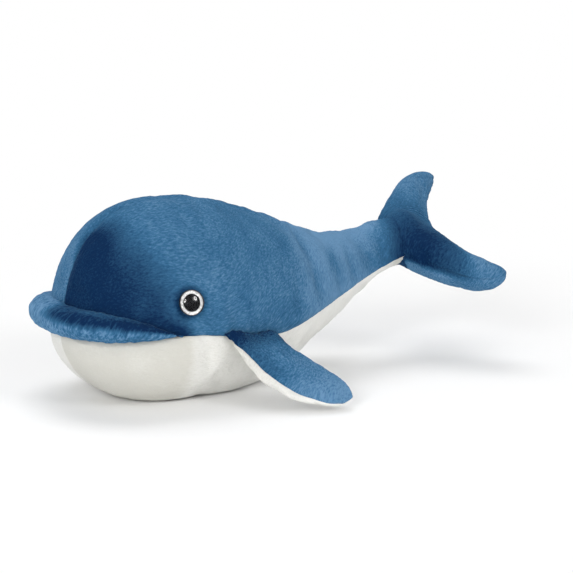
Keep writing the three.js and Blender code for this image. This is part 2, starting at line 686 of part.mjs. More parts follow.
const fluke = flukeFrame();
const flukeParts = flukeSolids();
fluke.add(named('fluke_top', geometryOf(flukeParts.fluke_top), COLOURS.blue));
fluke.add(named('fluke_underside', geometryOf(flukeParts.fluke_underside), COLOURS.blue));
fluke.add(named('fluke_stuffing', geometryOf(flukeParts.fluke_stuffing), COLOURS.stuffing));
whale.add(fluke);

export default whale;
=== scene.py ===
# %% [markdown]
# # A plush blue whale
# The real object is a stuffed toy: short-pile plush cloth, cut into panels, sewn into bags and
# filled with loose fibre. This lesson builds it the way it is sewn. Each bag is made as one
# closed skin, blown up with a short cloth simulation whose seams are held still, and then cut
# into its panels along the seams. The pile is added last, partly in the mesh and partly in
# the material.

# %% Load the frame
import json
import math

import bmesh
import bpy
import numpy as np
from mathutils import Matrix, Vector
from mathutils.kdtree import KDTree

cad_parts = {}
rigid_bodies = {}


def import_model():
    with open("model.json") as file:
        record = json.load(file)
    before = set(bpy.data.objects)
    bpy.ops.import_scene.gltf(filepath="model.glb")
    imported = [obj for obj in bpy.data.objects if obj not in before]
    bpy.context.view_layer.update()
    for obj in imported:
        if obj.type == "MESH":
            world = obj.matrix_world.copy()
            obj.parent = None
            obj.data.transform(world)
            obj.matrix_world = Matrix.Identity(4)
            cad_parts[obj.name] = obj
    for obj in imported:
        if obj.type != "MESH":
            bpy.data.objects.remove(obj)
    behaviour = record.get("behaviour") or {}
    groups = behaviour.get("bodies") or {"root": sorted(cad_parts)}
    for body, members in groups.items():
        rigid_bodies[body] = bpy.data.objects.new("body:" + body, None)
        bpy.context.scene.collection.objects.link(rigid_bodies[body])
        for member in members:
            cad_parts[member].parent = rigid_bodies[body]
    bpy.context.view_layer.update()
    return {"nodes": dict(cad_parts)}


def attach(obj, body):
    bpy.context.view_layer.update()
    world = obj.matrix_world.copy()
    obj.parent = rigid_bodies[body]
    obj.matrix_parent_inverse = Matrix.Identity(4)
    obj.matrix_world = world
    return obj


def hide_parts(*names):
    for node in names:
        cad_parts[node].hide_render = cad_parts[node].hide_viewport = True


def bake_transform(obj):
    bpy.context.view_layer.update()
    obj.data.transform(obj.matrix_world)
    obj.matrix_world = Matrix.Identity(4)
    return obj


for leftover in list(bpy.data.objects):
    bpy.data.objects.remove(leftover)
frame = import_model()
scene = bpy.context.scene
scene.view_settings.view_transform = "Standard"

# %% [markdown]
# ## Camera
# The whale is seen from its left and a little from the front, from 15 degrees above the floor
# and about 1.6 m away. A long lens keeps the perspective as flat as a catalogue picture's. The
# camera is placed on a line through the middle of the belly and then aimed beside the whale,
# so that the whale sits left of the middle of the square frame.

# %% Camera
PHOTO_SIDE = 573
PIXELS_PER_METRE = 1250
VIEW_AZIMUTH = math.radians(-28)
VIEW_ELEVATION = math.radians(15)
VIEW_DISTANCE = 1.6
BELLY_PLACE = Vector((-0.03, 0, 0))
BELLY_PIXEL = (160, 385)
SENSOR_WIDTH = 36


def view_axes(azimuth, elevation):
    """The directions to the camera, to its right and up, for a view at these angles."""
    level = math.cos(elevation)
    back = Vector((math.sin(azimuth) * level, -math.cos(azimuth) * level, math.sin(elevation)))
    right = Vector((math.cos(azimuth), math.sin(azimuth), 0))
    return back, right, back.cross(right)


def make_camera():
    back, right, up = view_axes(VIEW_AZIMUTH, VIEW_ELEVATION)
    across = (PHOTO_SIDE / 2 - BELLY_PIXEL[0]) / PIXELS_PER_METRE
    rise = (BELLY_PIXEL[1] - PHOTO_SIDE / 2) / PIXELS_PER_METRE
    place = BELLY_PLACE + back * VIEW_DISTANCE
    target = BELLY_PLACE + right * across + up * rise
    camera = bpy.data.objects.new("camera", bpy.data.cameras.new("camera"))
    camera.data.sensor_width = SENSOR_WIDTH
    camera.data.lens = SENSOR_WIDTH * PIXELS_PER_METRE * VIEW_DISTANCE / PHOTO_SIDE
    camera.location = place
    camera.rotation_euler = (target - place).to_track_quat("-Z", "Y").to_euler()
    scene.collection.objects.link(camera)
    scene.camera = camera
    return camera


camera = make_camera()
print("camera at", tuple(round(value, 3) for value in camera.location), "lens", camera.data.lens)

# %% [markdown]
# ## Bags
# Every stuffed piece is a bag: a tube of rings round the body from nose to tail, round a
# flipper from root to tip, round the lip from corner to corner. A flat grid is made with an
# operator, each of its points is moved to its place on the rings, and the long edges and the
# poles are welded. Each face keeps the number of the cloth panel that it belongs to.

# %% Curves and points
WELD = 0.00001


def table(stations, values):
    """A smooth curve through a table of stations and values."""
    stations, values = np.array(stations, float), np.array(values, float)
    slopes = np.gradient(values, stations)

    def at(place):
        place = np.clip(place, stations[0], stations[-1])
        i = np.clip(np.searchsorted(stations, place) - 1, 0, len(stations) - 2)
        span = stations[i + 1] - stations[i]
        t = (place - stations[i]) / span
        start = (1 + 2 * t) * (1 - t) ** 2 * values[i] + t * (1 - t) ** 2 * slopes[i] * span
        end = t * t * (3 - 2 * t) * values[i + 1] + t * t * (t - 1) * slopes[i + 1] * span
        return start + end

    return at


def ease(low, high, value):
    """0 below low, 1 above high and smooth between."""
    share = np.clip((value - low) / (high - low), 0, 1)
    return share * share * (3 - 2 * share)


def hump(middle, width, value):
    """1 in the middle of a soft hump and 0 well away from it."""
    return np.exp(-(((value - middle) / width) ** 2))


def points_of(mesh):
    points = np.empty(len(mesh.vertices) * 3)
    mesh.vertices.foreach_get("co", points)
    return points.reshape(-1, 3)


def normals_of(mesh):
    normals = np.empty(len(mesh.vertices) * 3, np.float32)
    mesh.vertex_normals.foreach_get("vector", normals)
    return normals.reshape(-1, 3).astype(float)


def move_points(mesh, points):
    mesh.vertices.foreach_set("co", np.ascontiguousarray(points).ravel())
    mesh.update()


def swell_points(mesh, heights):
    """Moves each point along its normal."""
    move_points(mesh, points_of(mesh) + normals_of(mesh) * np.asarray(heights)[:, None])


print("helpers for curves and points ready")

# %% Tubes of rings
def new_object(name, bm):
    """A new object in the scene from a bmesh, which is freed."""
    mesh = bpy.data.meshes.new(name)
    bm.to_mesh(mesh)
    bm.free()
    obj = bpy.data.objects.new(name, mesh)
    scene.collection.objects.link(obj)
    return obj


def tube(name, rings, columns):
    """A closed bag through an array of rings. columns gives the width of each panel in columns,
    from point 0 of the rings. The ends that aren't a pole get a cap, which is the last panel."""
    count, sides = rings.shape[:2]
    bm = bmesh.new()
    bmesh.ops.create_grid(bm, x_segments=count - 1, y_segments=sides, size=0.5)
    panel = bm.faces.layers.int.new("panel")
    panel_ends = np.cumsum(columns)
    for face in bm.faces:
        column = int((face.calc_center_median().y + 0.5) * sides)
        face[panel] = int(np.searchsorted(panel_ends, column, side="right"))
    for vert in bm.verts:
        ring = round((vert.co.x + 0.5) * (count - 1))
        side = round((vert.co.y + 0.5) * sides) % sides
        vert.co = rings[ring, side]
    bmesh.ops.remove_doubles(bm, verts=bm.verts, dist=WELD)
    close_ends(bm, panel, len(columns))
    bmesh.ops.recalc_face_normals(bm, faces=bm.faces)
    return new_object(name, bm)


def close_ends(bm, panel, number):
    """Closes each open end with a fan of faces that have this panel number."""
    border = [edge for edge in bm.edges if edge.is_boundary]
    if not border:
        return
    caps = bmesh.ops.holes_fill(bm, edges=border, sides=0)["faces"]
    fan = bmesh.ops.poke(bm, faces=caps)["faces"]
    for face in fan:
        face[panel] = number


print("helpers for bags ready")

# %% [markdown]
# ## Blowing up a bag
# Stuffing presses the cloth out evenly and the seams hold it in, so the panels crown between
# their seams. A cloth simulation with pressure does the same: the seams are pinned and the cloth
# may grow by a few percent. Each point then moves along its normal by what the simulation found,
# up to a cap, so that the toy keeps its measured size. The bag starts a little too small for the
# same reason.

# %% Cloth simulation
LAST_FRAME = 20
CLOTH_MASS = 0.3
CLOTH_STIFFNESS = 20
CLOTH_BENDING = 0.6
CLOTH_GROWTH = 0.03
PRESSURE = 4


def panels_of(mesh):
    numbers = np.empty(len(mesh.polygons), np.int32)
    mesh.attributes["panel"].data.foreach_get("value", numbers)
    return numbers


def seam_points(mesh, without=None):
    """The points where two panels meet, apart from the panel that is left out."""
    numbers = panels_of(mesh)
    seen = {}
    for face in mesh.polygons:
        number = int(numbers[face.index])
        for vertex in face.vertices:
            if number != without:
                seen.setdefault(vertex, set()).add(number)
    return [vertex for vertex, panels in seen.items() if len(panels) > 1]


def add_cloth(bag, seams):
    group = bag.vertex_groups.new(name="seams")
    group.add(seams, 1.0, "REPLACE")
    cloth = bag.modifiers.new("cloth", "CLOTH")
    settings = cloth.settings
    settings.mass = CLOTH_MASS
    settings.tension_stiffness = CLOTH_STIFFNESS
    settings.compression_stiffness = CLOTH_STIFFNESS
    settings.shear_stiffness = CLOTH_STIFFNESS / 2
    settings.bending_stiffness = CLOTH_BENDING
    settings.use_pressure = True
    settings.uniform_pressure_force = PRESSURE
    settings.shrink_min = -CLOTH_GROWTH
    settings.vertex_group_mass = "seams"
    settings.effector_weights.gravity = 0
    cloth.collision_settings.use_collision = False
    cloth.point_cache.frame_start = 1
    cloth.point_cache.frame_end = LAST_FRAME
    return cloth


def blow_up(bag, inset, cap, open_end=None):
    """Draws a bag in, and presses its cloth out by at most the cap while its seams hold still.
    An open end, where the bag runs on into the next one, isn't held."""
    swell_points(bag.data, np.full(len(bag.data.vertices), -inset))
    before = points_of(bag.data)
    cloth = add_cloth(bag, seam_points(bag.data, open_end))
    for step in range(1, LAST_FRAME + 1):
        scene.frame_set(step)
    pressed = bag.evaluated_get(bpy.context.evaluated_depsgraph_get()).to_mesh()
    rise = ((points_of(pressed) - before) * normals_of(bag.data)).sum(axis=1)
    bag.modifiers.remove(cloth)
    bag.vertex_groups.clear()
    swell_points(bag.data, cap * np.tanh(rise / cap))
    scene.frame_set(1)
    print(bag.name, "was pressed out by up to", round(float(rise.max()) * 1000, 1), "mm")


print("each bag is blown up in", LAST_FRAME, "steps")

# %% [markdown]
# ## Finer cloth, seams and pile
# The blown bag is subdivided until its faces are about a millimetre. Then the sewing is pulled
# in: a narrow valley along every seam. Last comes the pile. Its tufts are raised and flattened
# in streaks along the lie of the hair, so each point moves along its normal by a noise that is
# stretched along the lie. All of this is done while the bag is still one skin, so that the
# panels fit edge to edge when it is cut along its seams.

# %% Noise, lie of the hair and pile
PILE_RELIEF = 0.0005
STREAK_SIZE = (0.0048, 0.0018, 0.0018)
TUFT_SIZE = 0.009
WANDER_SIZE = 0.022
WANDER_REACH = 0.006
TUFT_SHARE = 0.4
STREAK_SEED, TUFT_SEED, WANDER_SEED = 1, 2, 5
CELL_FACTORS = np.array([73856093, 19349663, 83492791])
SEED_FACTOR = 9176263
MIX_FACTOR = 1274126177
FIRST_SHIFT, LAST_SHIFT = 13, 16
LARGEST = 0x7FFFFFFF
SHADES = 0xFFFF


def lattice_noise(points, seed):
    """Smooth noise from 0 to 1 that is the same on every run."""
    cell = np.floor(points).astype(np.int64)
    part = points - cell
    part = part * part * (3 - 2 * part)
    total = np.zeros(len(points))
    for corner in np.ndindex(2, 2, 2):
        key = cell + np.array(corner)
        mixed = np.bitwise_xor.reduce(key * CELL_FACTORS, axis=1) ^ seed * SEED_FACTOR
        mixed = (mixed ^ (mixed >> FIRST_SHIFT)) * MIX_FACTOR & LARGEST
        value = ((mixed ^ (mixed >> LAST_SHIFT)) & SHADES) / SHADES
        total += value * np.prod(np.where(np.array(corner) == 1, part, 1 - part), axis=1)
    return total


def lie_places(points, angle):
    """Each point's place along the hair, across it and through the toy, in metres.

    The angle turns the lie of the hair from X towards Z, and may differ from point to point.
    """
    turned_x = points[:, 0] * np.cos(angle) + points[:, 2] * np.sin(angle)
    turned_z = points[:, 2] * np.cos(angle) - points[:, 0] * np.sin(angle)
    places = np.stack([turned_x, points[:, 1], turned_z], axis=1)
    wander = lattice_noise(points / WANDER_SIZE, WANDER_SEED) - 0.5
    return places + WANDER_REACH * wander[:, None]


def write_places(mesh, places):
    """Keeps the places along the lie for the material, as a vector at each point."""
    layer = mesh.attributes.new("lie", "FLOAT_VECTOR", "POINT")
    layer.data.foreach_set("vector", places.astype(np.float32).ravel())


def raise_pile(mesh, places, relief=PILE_RELIEF):
    streaks = lattice_noise(places / np.array(STREAK_SIZE), STREAK_SEED) - 0.5
    tufts = lattice_noise(places / TUFT_SIZE, TUFT_SEED) - 0.5
    swell_points(mesh, relief * (streaks + TUFT_SHARE * tufts))


print("pile relief", PILE_RELIEF * 1000, "mm")

# %% Seams and panels
CLOTH_THICKNESS = 0.0006


def refine(bag, levels):
    """Subdivides a bag for good. Its faces keep their panel numbers."""
    finer = bag.modifiers.new("finer", "SUBSURF")
    finer.levels = finer.render_levels = levels
    graph = bpy.context.evaluated_depsgraph_get()
    mesh = bpy.data.meshes.new_from_object(bag.evaluated_get(graph))
    bag.modifiers.remove(finer)
    bag.data = mesh
    print(bag.name, "has", len(mesh.polygons), "faces")


def seam_distance(mesh, without=None):
    """How far each point is from the nearest seam."""
    points = points_of(mesh)
    seams = seam_points(mesh, without)
    tree = KDTree(len(seams))
    for place, vertex in enumerate(seams):
        tree.insert(points[vertex], place)
    tree.balance()
    return np.array([tree.find(point)[2] for point in points])


def write_share(mesh, name, values):
    layer = mesh.attributes.new(name, "FLOAT", "POINT")
    layer.data.foreach_set("value", np.clip(values, 0, 1).astype(np.float32))


def cut_panel(bag, name, number):
    """One panel of a bag as its own object."""
    bm = bmesh.new()
    bm.from_mesh(bag.data)
    panel = bm.faces.layers.int["panel"]
    others = [face for face in bm.faces if face[panel] != number]
    bmesh.ops.delete(bm, geom=others, context="FACES")
    return new_object(name, bm)


def finish_cloth(obj, material, nodes):
    """Gives a panel its thickness, its finish and the nodes that it stands for."""
    for face in obj.data.polygons:
        face.use_smooth = True
    backing = obj.modifiers.new("backing", "SOLIDIFY")
    backing.thickness = CLOTH_THICKNESS
    backing.offset = -1
    obj.data.materials.clear()
    obj.data.materials.append(material)
    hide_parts(*nodes)
    print(obj.name, "has", len(obj.data.polygons), "faces")


print("cloth", CLOTH_THICKNESS * 1000, "mm thick")

# %% [markdown]
# ## Plush
# Short-pile plush shows three things: a fine streaky grain along the lie of the hair, soft
# patches that are darker where the hair leans away, and a pale rim where it is seen along the
# surface, which is a sheen. Grain and patches are one node group for all the plush. It reads
# the "lie" places that the mesh carries, so that the grain follows the hair. A tone number says
# how dark the pile is. It holds the brushed patches and also the painted shade and painted sheen
# that each piece is given. A "fluff" number says where it is ruffled, which makes light and dark stand
# out more.

# %% Node group for short pile
PILE_SCALES = (190, 760, 760)
PATCH_SCALE = 40
GRAIN_SCALE = 1.9
TONE_SPREAD = 0.22
STREAK_SPREAD = 0.6
GRAIN_SPREAD = 0.25
HALF_TONE = 0.4
NOISE_LOW, NOISE_HIGH = 0.3, 0.7
HAIR_ROUGHNESS = 0.6


def add_node(tree, kind, inputs=None, **settings):
    """A node with its settings and its inputs' values or links."""
    node = tree.nodes.new(kind)
    for key, value in settings.items():
        setattr(node, key, value)
    for key, value in (inputs or {}).items():
        if isinstance(value, bpy.types.NodeSocket):
            tree.links.new(value, node.inputs[key])
        else:
            node.inputs[key].default_value = value
    return node


def about_nothing(tree, value, spread):
    """A noise value as a number from plus to minus its spread."""
    inputs = {"Value": value, "From Min": NOISE_LOW, "From Max": NOISE_HIGH, "To Min": spread,
              "To Max": -spread}
    return add_node(tree, "ShaderNodeMapRange", inputs).outputs[0]


def sum_of(tree, first, second):
    return add_node(tree, "ShaderNodeMath", {0: first, 1: second}, operation="ADD").outputs[0]


def mixed_colour(tree, share, first, second):
    inputs = {"Factor": share, "A": first, "B": second}
    return add_node(tree, "ShaderNodeMix", inputs, data_type="RGBA").outputs["Result"]


def make_pile_group():
    group = bpy.data.node_groups.new("short pile", "ShaderNodeTree")
    socket = group.interface.new_socket
    socket("Vector", in_out="INPUT", socket_type="NodeSocketVector")
    for name in ["Light", "Middle", "Dark"]:
        socket(name, in_out="INPUT", socket_type="NodeSocketColor")
    for name in ["Brushed_and_shade", "Fluff"]:
        socket(name, in_out="INPUT", socket_type="NodeSocketFloat")
    socket("Color", in_out="OUTPUT", socket_type="NodeSocketColor")
    socket("Height", in_out="OUTPUT", socket_type="NodeSocketFloat")
    start = group.nodes.new("NodeGroupInput").outputs
    scaled = add_node(group, "ShaderNodeVectorMath", {0: start["Vector"], 1: PILE_SCALES},
                      operation="MULTIPLY").outputs[0]
    hair = add_node(group, "ShaderNodeTexNoise",
                    {"Vector": scaled, "Scale": 1, "Detail": 3,
                     "Roughness": HAIR_ROUGHNESS}).outputs["Fac"]
    patch = add_node(group, "ShaderNodeTexNoise",
                     {"Vector": start["Vector"], "Scale": PATCH_SCALE, "Detail": 2}).outputs["Fac"]
    grain = add_node(group, "ShaderNodeTexNoise",
                     {"Vector": scaled, "Scale": GRAIN_SCALE, "Detail": 2}).outputs["Fac"]
    # The tone is noise plus the brushed number, which also carries painted shade and painted sheen.
    pile_tone_and_shade = sum_of(group, about_nothing(group, patch, TONE_SPREAD),
                  about_nothing(group, hair, STREAK_SPREAD))
    pile_tone_and_shade = sum_of(group, pile_tone_and_shade, about_nothing(group, grain, GRAIN_SPREAD))
    pile_tone_and_shade = add_node(group, "ShaderNodeMath", {0: pile_tone_and_shade, 1: start["Fluff"], 2: start["Brushed_and_shade"]},
                    operation="MULTIPLY_ADD").outputs[0]
    pale = add_node(group, "ShaderNodeMapRange", {"Value": pile_tone_and_shade, "From Max": HALF_TONE}).outputs[0]
    deep = add_node(group, "ShaderNodeMapRange", {"Value": pile_tone_and_shade, "From Min": HALF_TONE}).outputs[0]
    colour = mixed_colour(group, pale, start["Light"], start["Middle"])
    colour = mixed_colour(group, deep, colour, start["Dark"])
    height = add_node(group, "ShaderNodeMath", {0: grain, 1: 0.5, 2: hair},
                      operation="MULTIPLY_ADD").outputs[0]
    end = group.nodes.new("NodeGroupOutput").inputs
    group.links.new(colour, end["Color"])
    group.links.new(height, end["Height"])
    return group


short_pile = make_pile_group()
print("short pile has", len(short_pile.nodes), "nodes")

# %% Plush in blue and in white
BUMP_DEPTH = 0.0012
BUMP_STRENGTH = 0.5
PILE_ROUGHNESS = 0.9
PILE_SPECULAR = 0.03
SHEEN_WEIGHT = 0.12
SHEEN_ROUGHNESS = 0.3
LIGHT_BLUE = (0.13, 0.265, 0.435, 1)
MIDDLE_BLUE = (0.035, 0.13, 0.255, 1)
DARK_BLUE = (0.001, 0.019, 0.07, 1)
BLUE_SHEEN = (0.3, 0.6, 0.9, 1)
LIGHT_WHITE = (0.8, 0.795, 0.76, 1)
MIDDLE_WHITE = (0.75, 0.745, 0.71, 1)
DARK_WHITE = (0.62, 0.61, 0.56, 1)
WHITE_SHEEN = (1, 1, 1, 1)


def plush(name, colours, sheen_tint):
    material = bpy.data.materials.new(name)
    material.use_nodes = True
    tree = material.node_tree
    shader = tree.nodes["Principled BSDF"]
    pile = tree.nodes.new("ShaderNodeGroup")
    pile.node_tree = short_pile
    for key, layer, output in [("Vector", "lie", "Vector"), ("Brushed_and_shade", "brushed_and_shade", "Fac"),
                               ("Fluff", "fluff", "Fac")]:
        read = add_node(tree, "ShaderNodeAttribute", attribute_name=layer)
        tree.links.new(read.outputs[output], pile.inputs[key])
    for key, colour in zip(["Light", "Middle", "Dark"], colours):
        pile.inputs[key].default_value = colour
    bump = add_node(tree, "ShaderNodeBump",
                    {"Height": pile.outputs["Height"], "Strength": BUMP_STRENGTH,
                     "Distance": BUMP_DEPTH})
    tree.links.new(pile.outputs["Color"], shader.inputs["Base Color"])
    tree.links.new(bump.outputs["Normal"], shader.inputs["Normal"])
    shader.inputs["Roughness"].default_value = PILE_ROUGHNESS
    shader.inputs["Specular IOR Level"].default_value = PILE_SPECULAR
    shader.inputs["Sheen Weight"].default_value = SHEEN_WEIGHT
    shader.inputs["Sheen Roughness"].default_value = SHEEN_ROUGHNESS
    shader.inputs["Sheen Tint"].default_value = sheen_tint
    return material


blue_plush = plush("blue plush", [LIGHT_BLUE, MIDDLE_BLUE, DARK_BLUE], BLUE_SHEEN)
white_plush = plush("white plush", [LIGHT_WHITE, MIDDLE_WHITE, DARK_WHITE], WHITE_SHEEN)
print("plush:", blue_plush.name, "and", white_plush.name)

# %% [markdown]
# ## Body
# The body is one bag of three panels: a blue back panel on each side, joined over the head and
# the back, and a white belly panel between them. Its rings are rounder above and squarer below,
# and the belly lies flat where it meets the floor. The rings' points are spread so that the
# seams fall on edges of the grid.

# %% Sections of the body
HEAD_LENGTH = 0.087
TRUNK_LENGTH = 0.234
BODY_LENGTH = HEAD_LENGTH + TRUNK_LENGTH
BODY_WIDTH = 0.146
BODY_HEIGHT = 0.154
REST_SAG = 0.0065
REST_SOFTNESS = 0.0012
WIDEST_X = -0.03
HEAD_ROUNDNESS = 2.3
CHIN_ROUNDNESS = 1.9
BACK_FULLNESS = 2
BELLY_FULLNESS = 2.5
WIDEST_HEIGHT_SHARE = 0.39
TRUNK_STATION_SHARES = [0, 0.08, 0.19, 0.39, 0.53, 0.66, 0.77, 0.87, 1]
back_share = table(TRUNK_STATION_SHARES, [1, 0.997, 0.969, 0.872, 0.785, 0.728, 0.723, 0.754, 0.795])
belly_share = table(TRUNK_STATION_SHARES, [0, 0, 0.003, 0.082, 0.203, 0.328, 0.426, 0.492, 0.544])
width_share = table(TRUNK_STATION_SHARES, [1, 0.998, 0.965, 0.82, 0.67, 0.52, 0.405, 0.343, 0.31])
seam_share = table([0, 0.2, 0.3, 0.35, 0.52, 0.63, 0.735, 0.84, 0.945, 1],
                   [0.384, 0.384, 0.361, 0.343, 0.307, 0.356, 0.425, 0.495, 0.556, 0.595])
HEAD_MIDDLE = -REST_SAG + (BODY_HEIGHT + REST_SAG) * WIDEST_HEIGHT_SHARE
SEAM_REACH_SHARE = 0.9


def body_section(run):
    """Place, half width, middle, back and belly at runs from -1, the nose, to 1, the tail."""
    run = np.asarray(run, float)
    angle = (1 + np.minimum(run, 0)) * math.pi / 2
    swell = np.sin(angle) ** (2 / HEAD_ROUNDNESS)
    chin_swell = np.sin(angle) ** (2 / CHIN_ROUNDNESS)
    ahead = HEAD_LENGTH * np.maximum(np.cos(angle), 0) ** (2 / HEAD_ROUNDNESS)
    trunk = np.maximum(run, 0)
    back = BODY_HEIGHT * back_share(trunk)
    belly = BODY_HEIGHT * belly_share(trunk) - REST_SAG
    middle = belly + (back - belly) * WIDEST_HEIGHT_SHARE
    is_head = run < 0
    x = np.where(is_head, WIDEST_X - ahead, WIDEST_X + TRUNK_LENGTH * trunk)
    half_width = BODY_WIDTH / 2 * np.where(is_head, swell, width_share(trunk))
    middle = np.where(is_head, HEAD_MIDDLE, middle)
    back = np.where(is_head, HEAD_MIDDLE + (BODY_HEIGHT - HEAD_MIDDLE) * swell, back)
    belly = np.where(is_head, HEAD_MIDDLE - (HEAD_MIDDLE + REST_SAG) * chin_swell, belly)
    return x, half_width, middle, back, belly


FLUKE_YAW = math.radians(-8)
FLUKE_ROLL = math.radians(25)
FLUKE_PITCH = math.radians(5)


def fluke_frame():
    """Place and axes of the tail fluke: X runs back, Y across the lobes and Z up."""
    x, _, _, back, belly = (float(value) for value in body_section(1))
    axes = (Matrix.Rotation(FLUKE_YAW, 3, "Z") @ Matrix.Rotation(FLUKE_ROLL, 3, "X")
            @ Matrix.Rotation(-FLUKE_PITCH, 3, "Y"))
    return np.array([x, 0, (back + belly) / 2]), np.array(axes)


def above_floor(z):
    """Heights that stay over the floor, with a soft edge to the flat patch."""
    return (z + np.sqrt(z * z + REST_SOFTNESS**2)) / 2


def body_point(run, turn):
    """Points on the outside of the body. A turn of 0 faces +Y and a quarter turn faces up."""
    x, half_width, middle, back, belly = body_section(run)
    across, rise = np.cos(turn), np.sin(turn)
    power = np.where(rise < 0, 2 / BELLY_FULLNESS, 2 / BACK_FULLNESS)
    reach = np.where(rise < 0, middle - belly, back - middle)
    y = half_width * np.sign(across) * np.abs(across) ** power
    z = middle + reach * np.sign(rise) * np.abs(rise) ** power
    return np.stack([x + 0 * y, y, above_floor(z)], axis=-1)


def seam_turn(run, lift=0):
    """The turn, on the whale's right, at which the side seam crosses a section."""
    x, half_width, middle, back, belly = body_section(run)
    z = BODY_HEIGHT * seam_share((x - WIDEST_X + HEAD_LENGTH) / BODY_LENGTH) + lift
    above = np.clip((z - middle) / np.maximum(back - middle, WELD), 0, SEAM_REACH_SHARE)
    below = np.clip((middle - z) / np.maximum(middle - belly, WELD), 0, SEAM_REACH_SHARE)
    return np.arcsin(above ** (BACK_FULLNESS / 2) - below ** (BELLY_FULLNESS / 2))


print("widest section:", [round(float(value), 4) for value in body_section(0)])

# %% Bag of the body
HEAD_RINGS = 24
TRUNK_RINGS = 50
BACK_COLUMNS = 27
BELLY_COLUMNS = 34
BODY_OPEN_END = 3
BODY_INSET = 0.0012
BODY_CAP = 0.002


def shares(columns):
    return np.linspace(0, 1, columns + 1)[None, :-1]


def body_rings():
    head = np.linspace(-1, 0, HEAD_RINGS + 1)[:-1]
    trunk = np.linspace(0, 1, TRUNK_RINGS + 1)
    runs = np.concatenate([head, trunk])[:, None]
    seam = seam_turn(runs)
    top = math.pi / 2
    left = top + (math.pi - seam - top) * shares(BACK_COLUMNS)
    belly = math.pi - seam + (math.pi + 2 * seam) * shares(BELLY_COLUMNS)
    right = 2 * math.pi + seam + (top - seam) * shares(BACK_COLUMNS)
    return body_point(runs, np.concatenate([left, belly, right], axis=1))


body_bag = tube("body_bag", body_rings(), [BACK_COLUMNS, BELLY_COLUMNS, BACK_COLUMNS])
print("body bag has", len(body_bag.data.polygons), "faces")

# %% [markdown]
# The cloth of the flank is gathered into soft upright folds where the tail bends up. They are
# pressed into the bag while it is still coarse and smooth, and then the bag is blown up.

# %% Folds of the flank
FOLDS = [(0.064, 0.008, 0.001), (0.086, 0.006, 0.0022), (0.11, 0.007, 0.003),
         (0.13, 0.0045, 0.0026), (0.147, 0.005, 0.0028), (0.166, 0.005, 0.0018)]
FOLD_SLANT = 0.08
FOLD_WANDER = 0.008
FOLD_PATCH = 0.03
FLANK_HEIGHT = 0.1
RIDGE_WIDTH = 0.03
SEAM_MARGIN = 0.015
FOLD_LEAST_SHARE = 0.3
FOLD_SEED, FOLD_WANDER_SEED = 8, 7


def flank_folds(points):
    """How deep the folds are at each point. They end at the side seam and before the ridge."""
    depths = np.zeros(len(points))
    seam = BODY_HEIGHT * seam_share((points[:, 0] - WIDEST_X + HEAD_LENGTH) / BODY_LENGTH)
    flank = ease(0, SEAM_MARGIN, points[:, 2] - seam) * ease(0, RIDGE_WIDTH, np.abs(points[:, 1]))
    patches = lattice_noise(points / FOLD_PATCH, FOLD_SEED)
    patches = FOLD_LEAST_SHARE + (1 - FOLD_LEAST_SHARE) * patches
    wander = FOLD_WANDER * (lattice_noise(points / WANDER_SIZE, FOLD_WANDER_SEED) - 0.5)
    slanted = points[:, 0] + FOLD_SLANT * (points[:, 2] - FLANK_HEIGHT) + wander
    for place, width, depth in FOLDS:
        depths += depth * hump(place, width, slanted) * patches
    return depths * flank


swell_points(body_bag.data, -flank_folds(points_of(body_bag.data)))
blow_up(body_bag, BODY_INSET, BODY_CAP, BODY_OPEN_END)
refine(body_bag, 2)

# %% [markdown]
# Smaller forms come after the cloth is fine. The locked eyes pull it into dimples, a crease runs
# from each eye towards the mouth, and the seams are valleys. The hair lies level on the head,
# slants along the flank and stands nearly upright on the tail stock.

# %% Dimples, seams and pile of the body
SEAM_VALLEY = 0.0014
SEAM_WIDTH = 0.003
EYE_RUN = -0.056
EYE_TURN = math.radians(16.2)
EYE_DIMPLE = 0.0035
EYE_DIMPLE_WIDTH = 0.014
BRUSH_PATCH = 0.02
BRUSH_SEED = 11
BRUSH_LEAST, BRUSH_SPREAD = 0.7, 0.6
TAIL_VALLEY_SHARE = 0.4
TAIL_VALLEY_X = (0.09, 0.14)
BODY_BRUSHED = 0.37
BODY_FLUFF = 0.31
HEAD_SHADE = 0.7
DARK_END_X = -0.034
DARK_END_Z = 0.09
DARK_END_SLOPE = 0.5
DARK_FADE = 0.05
CORNER_FADE = 0.014
CORNER_Z = (0.058, 0.08)
RIDGE_FADE, CROWN_FADE = 0.0005, 0.012
CROWN_Z = (0.1, 0.14)
RIGHT_DARK = 0.2
RIGHT_DARK_X, RIGHT_DARK_Y = -0.08, 0.055
RIGHT_DARK_SIZE = 0.03
EYE_SHADE = 0.35
EYE_EDGE = 0.0108
EYE_EDGE_WIDTH = 0.0028
BACK_PALE = 0.3
BACK_PALE_X, BACK_PALE_Z = (0.06, 0.14), (0.085, 0.12)
TRUNK_PALE = 0.29
TRUNK_PALE_X = (0.045, 0.09)
FAR_BAND_SHEEN = 0.1
FAR_BAND_SHEEN_X = (-0.07, -0.1)
PALE_END_X = (0.195, 0.165)
FOLD_SHADE = 100
DARKER_CALM = 0.45
DARKER_RANGE = (0.4, 0.9)
LIE_TURNS = [(-0.06, 0.06, 0.5), (0.06, 0.16, 0.8)]
CREASE_DEPTH = 0.003
CREASE_START = np.array([-0.045, 0.074, 0.074])
CREASE_END = np.array([-0.03, 0.074, 0.055])
CREASE_WIDTH = 0.0035


def eye_turn(side):
    return EYE_TURN if side > 0 else math.pi - EYE_TURN


def eye_place(side):
    return body_point(EYE_RUN, eye_turn(side))


def line_distance(points, start, end):
    along = end - start
    share = np.clip((points - start) @ along / (along @ along), 0, 1)
    return np.linalg.norm(points - start - share[:, None] * along, axis=1)


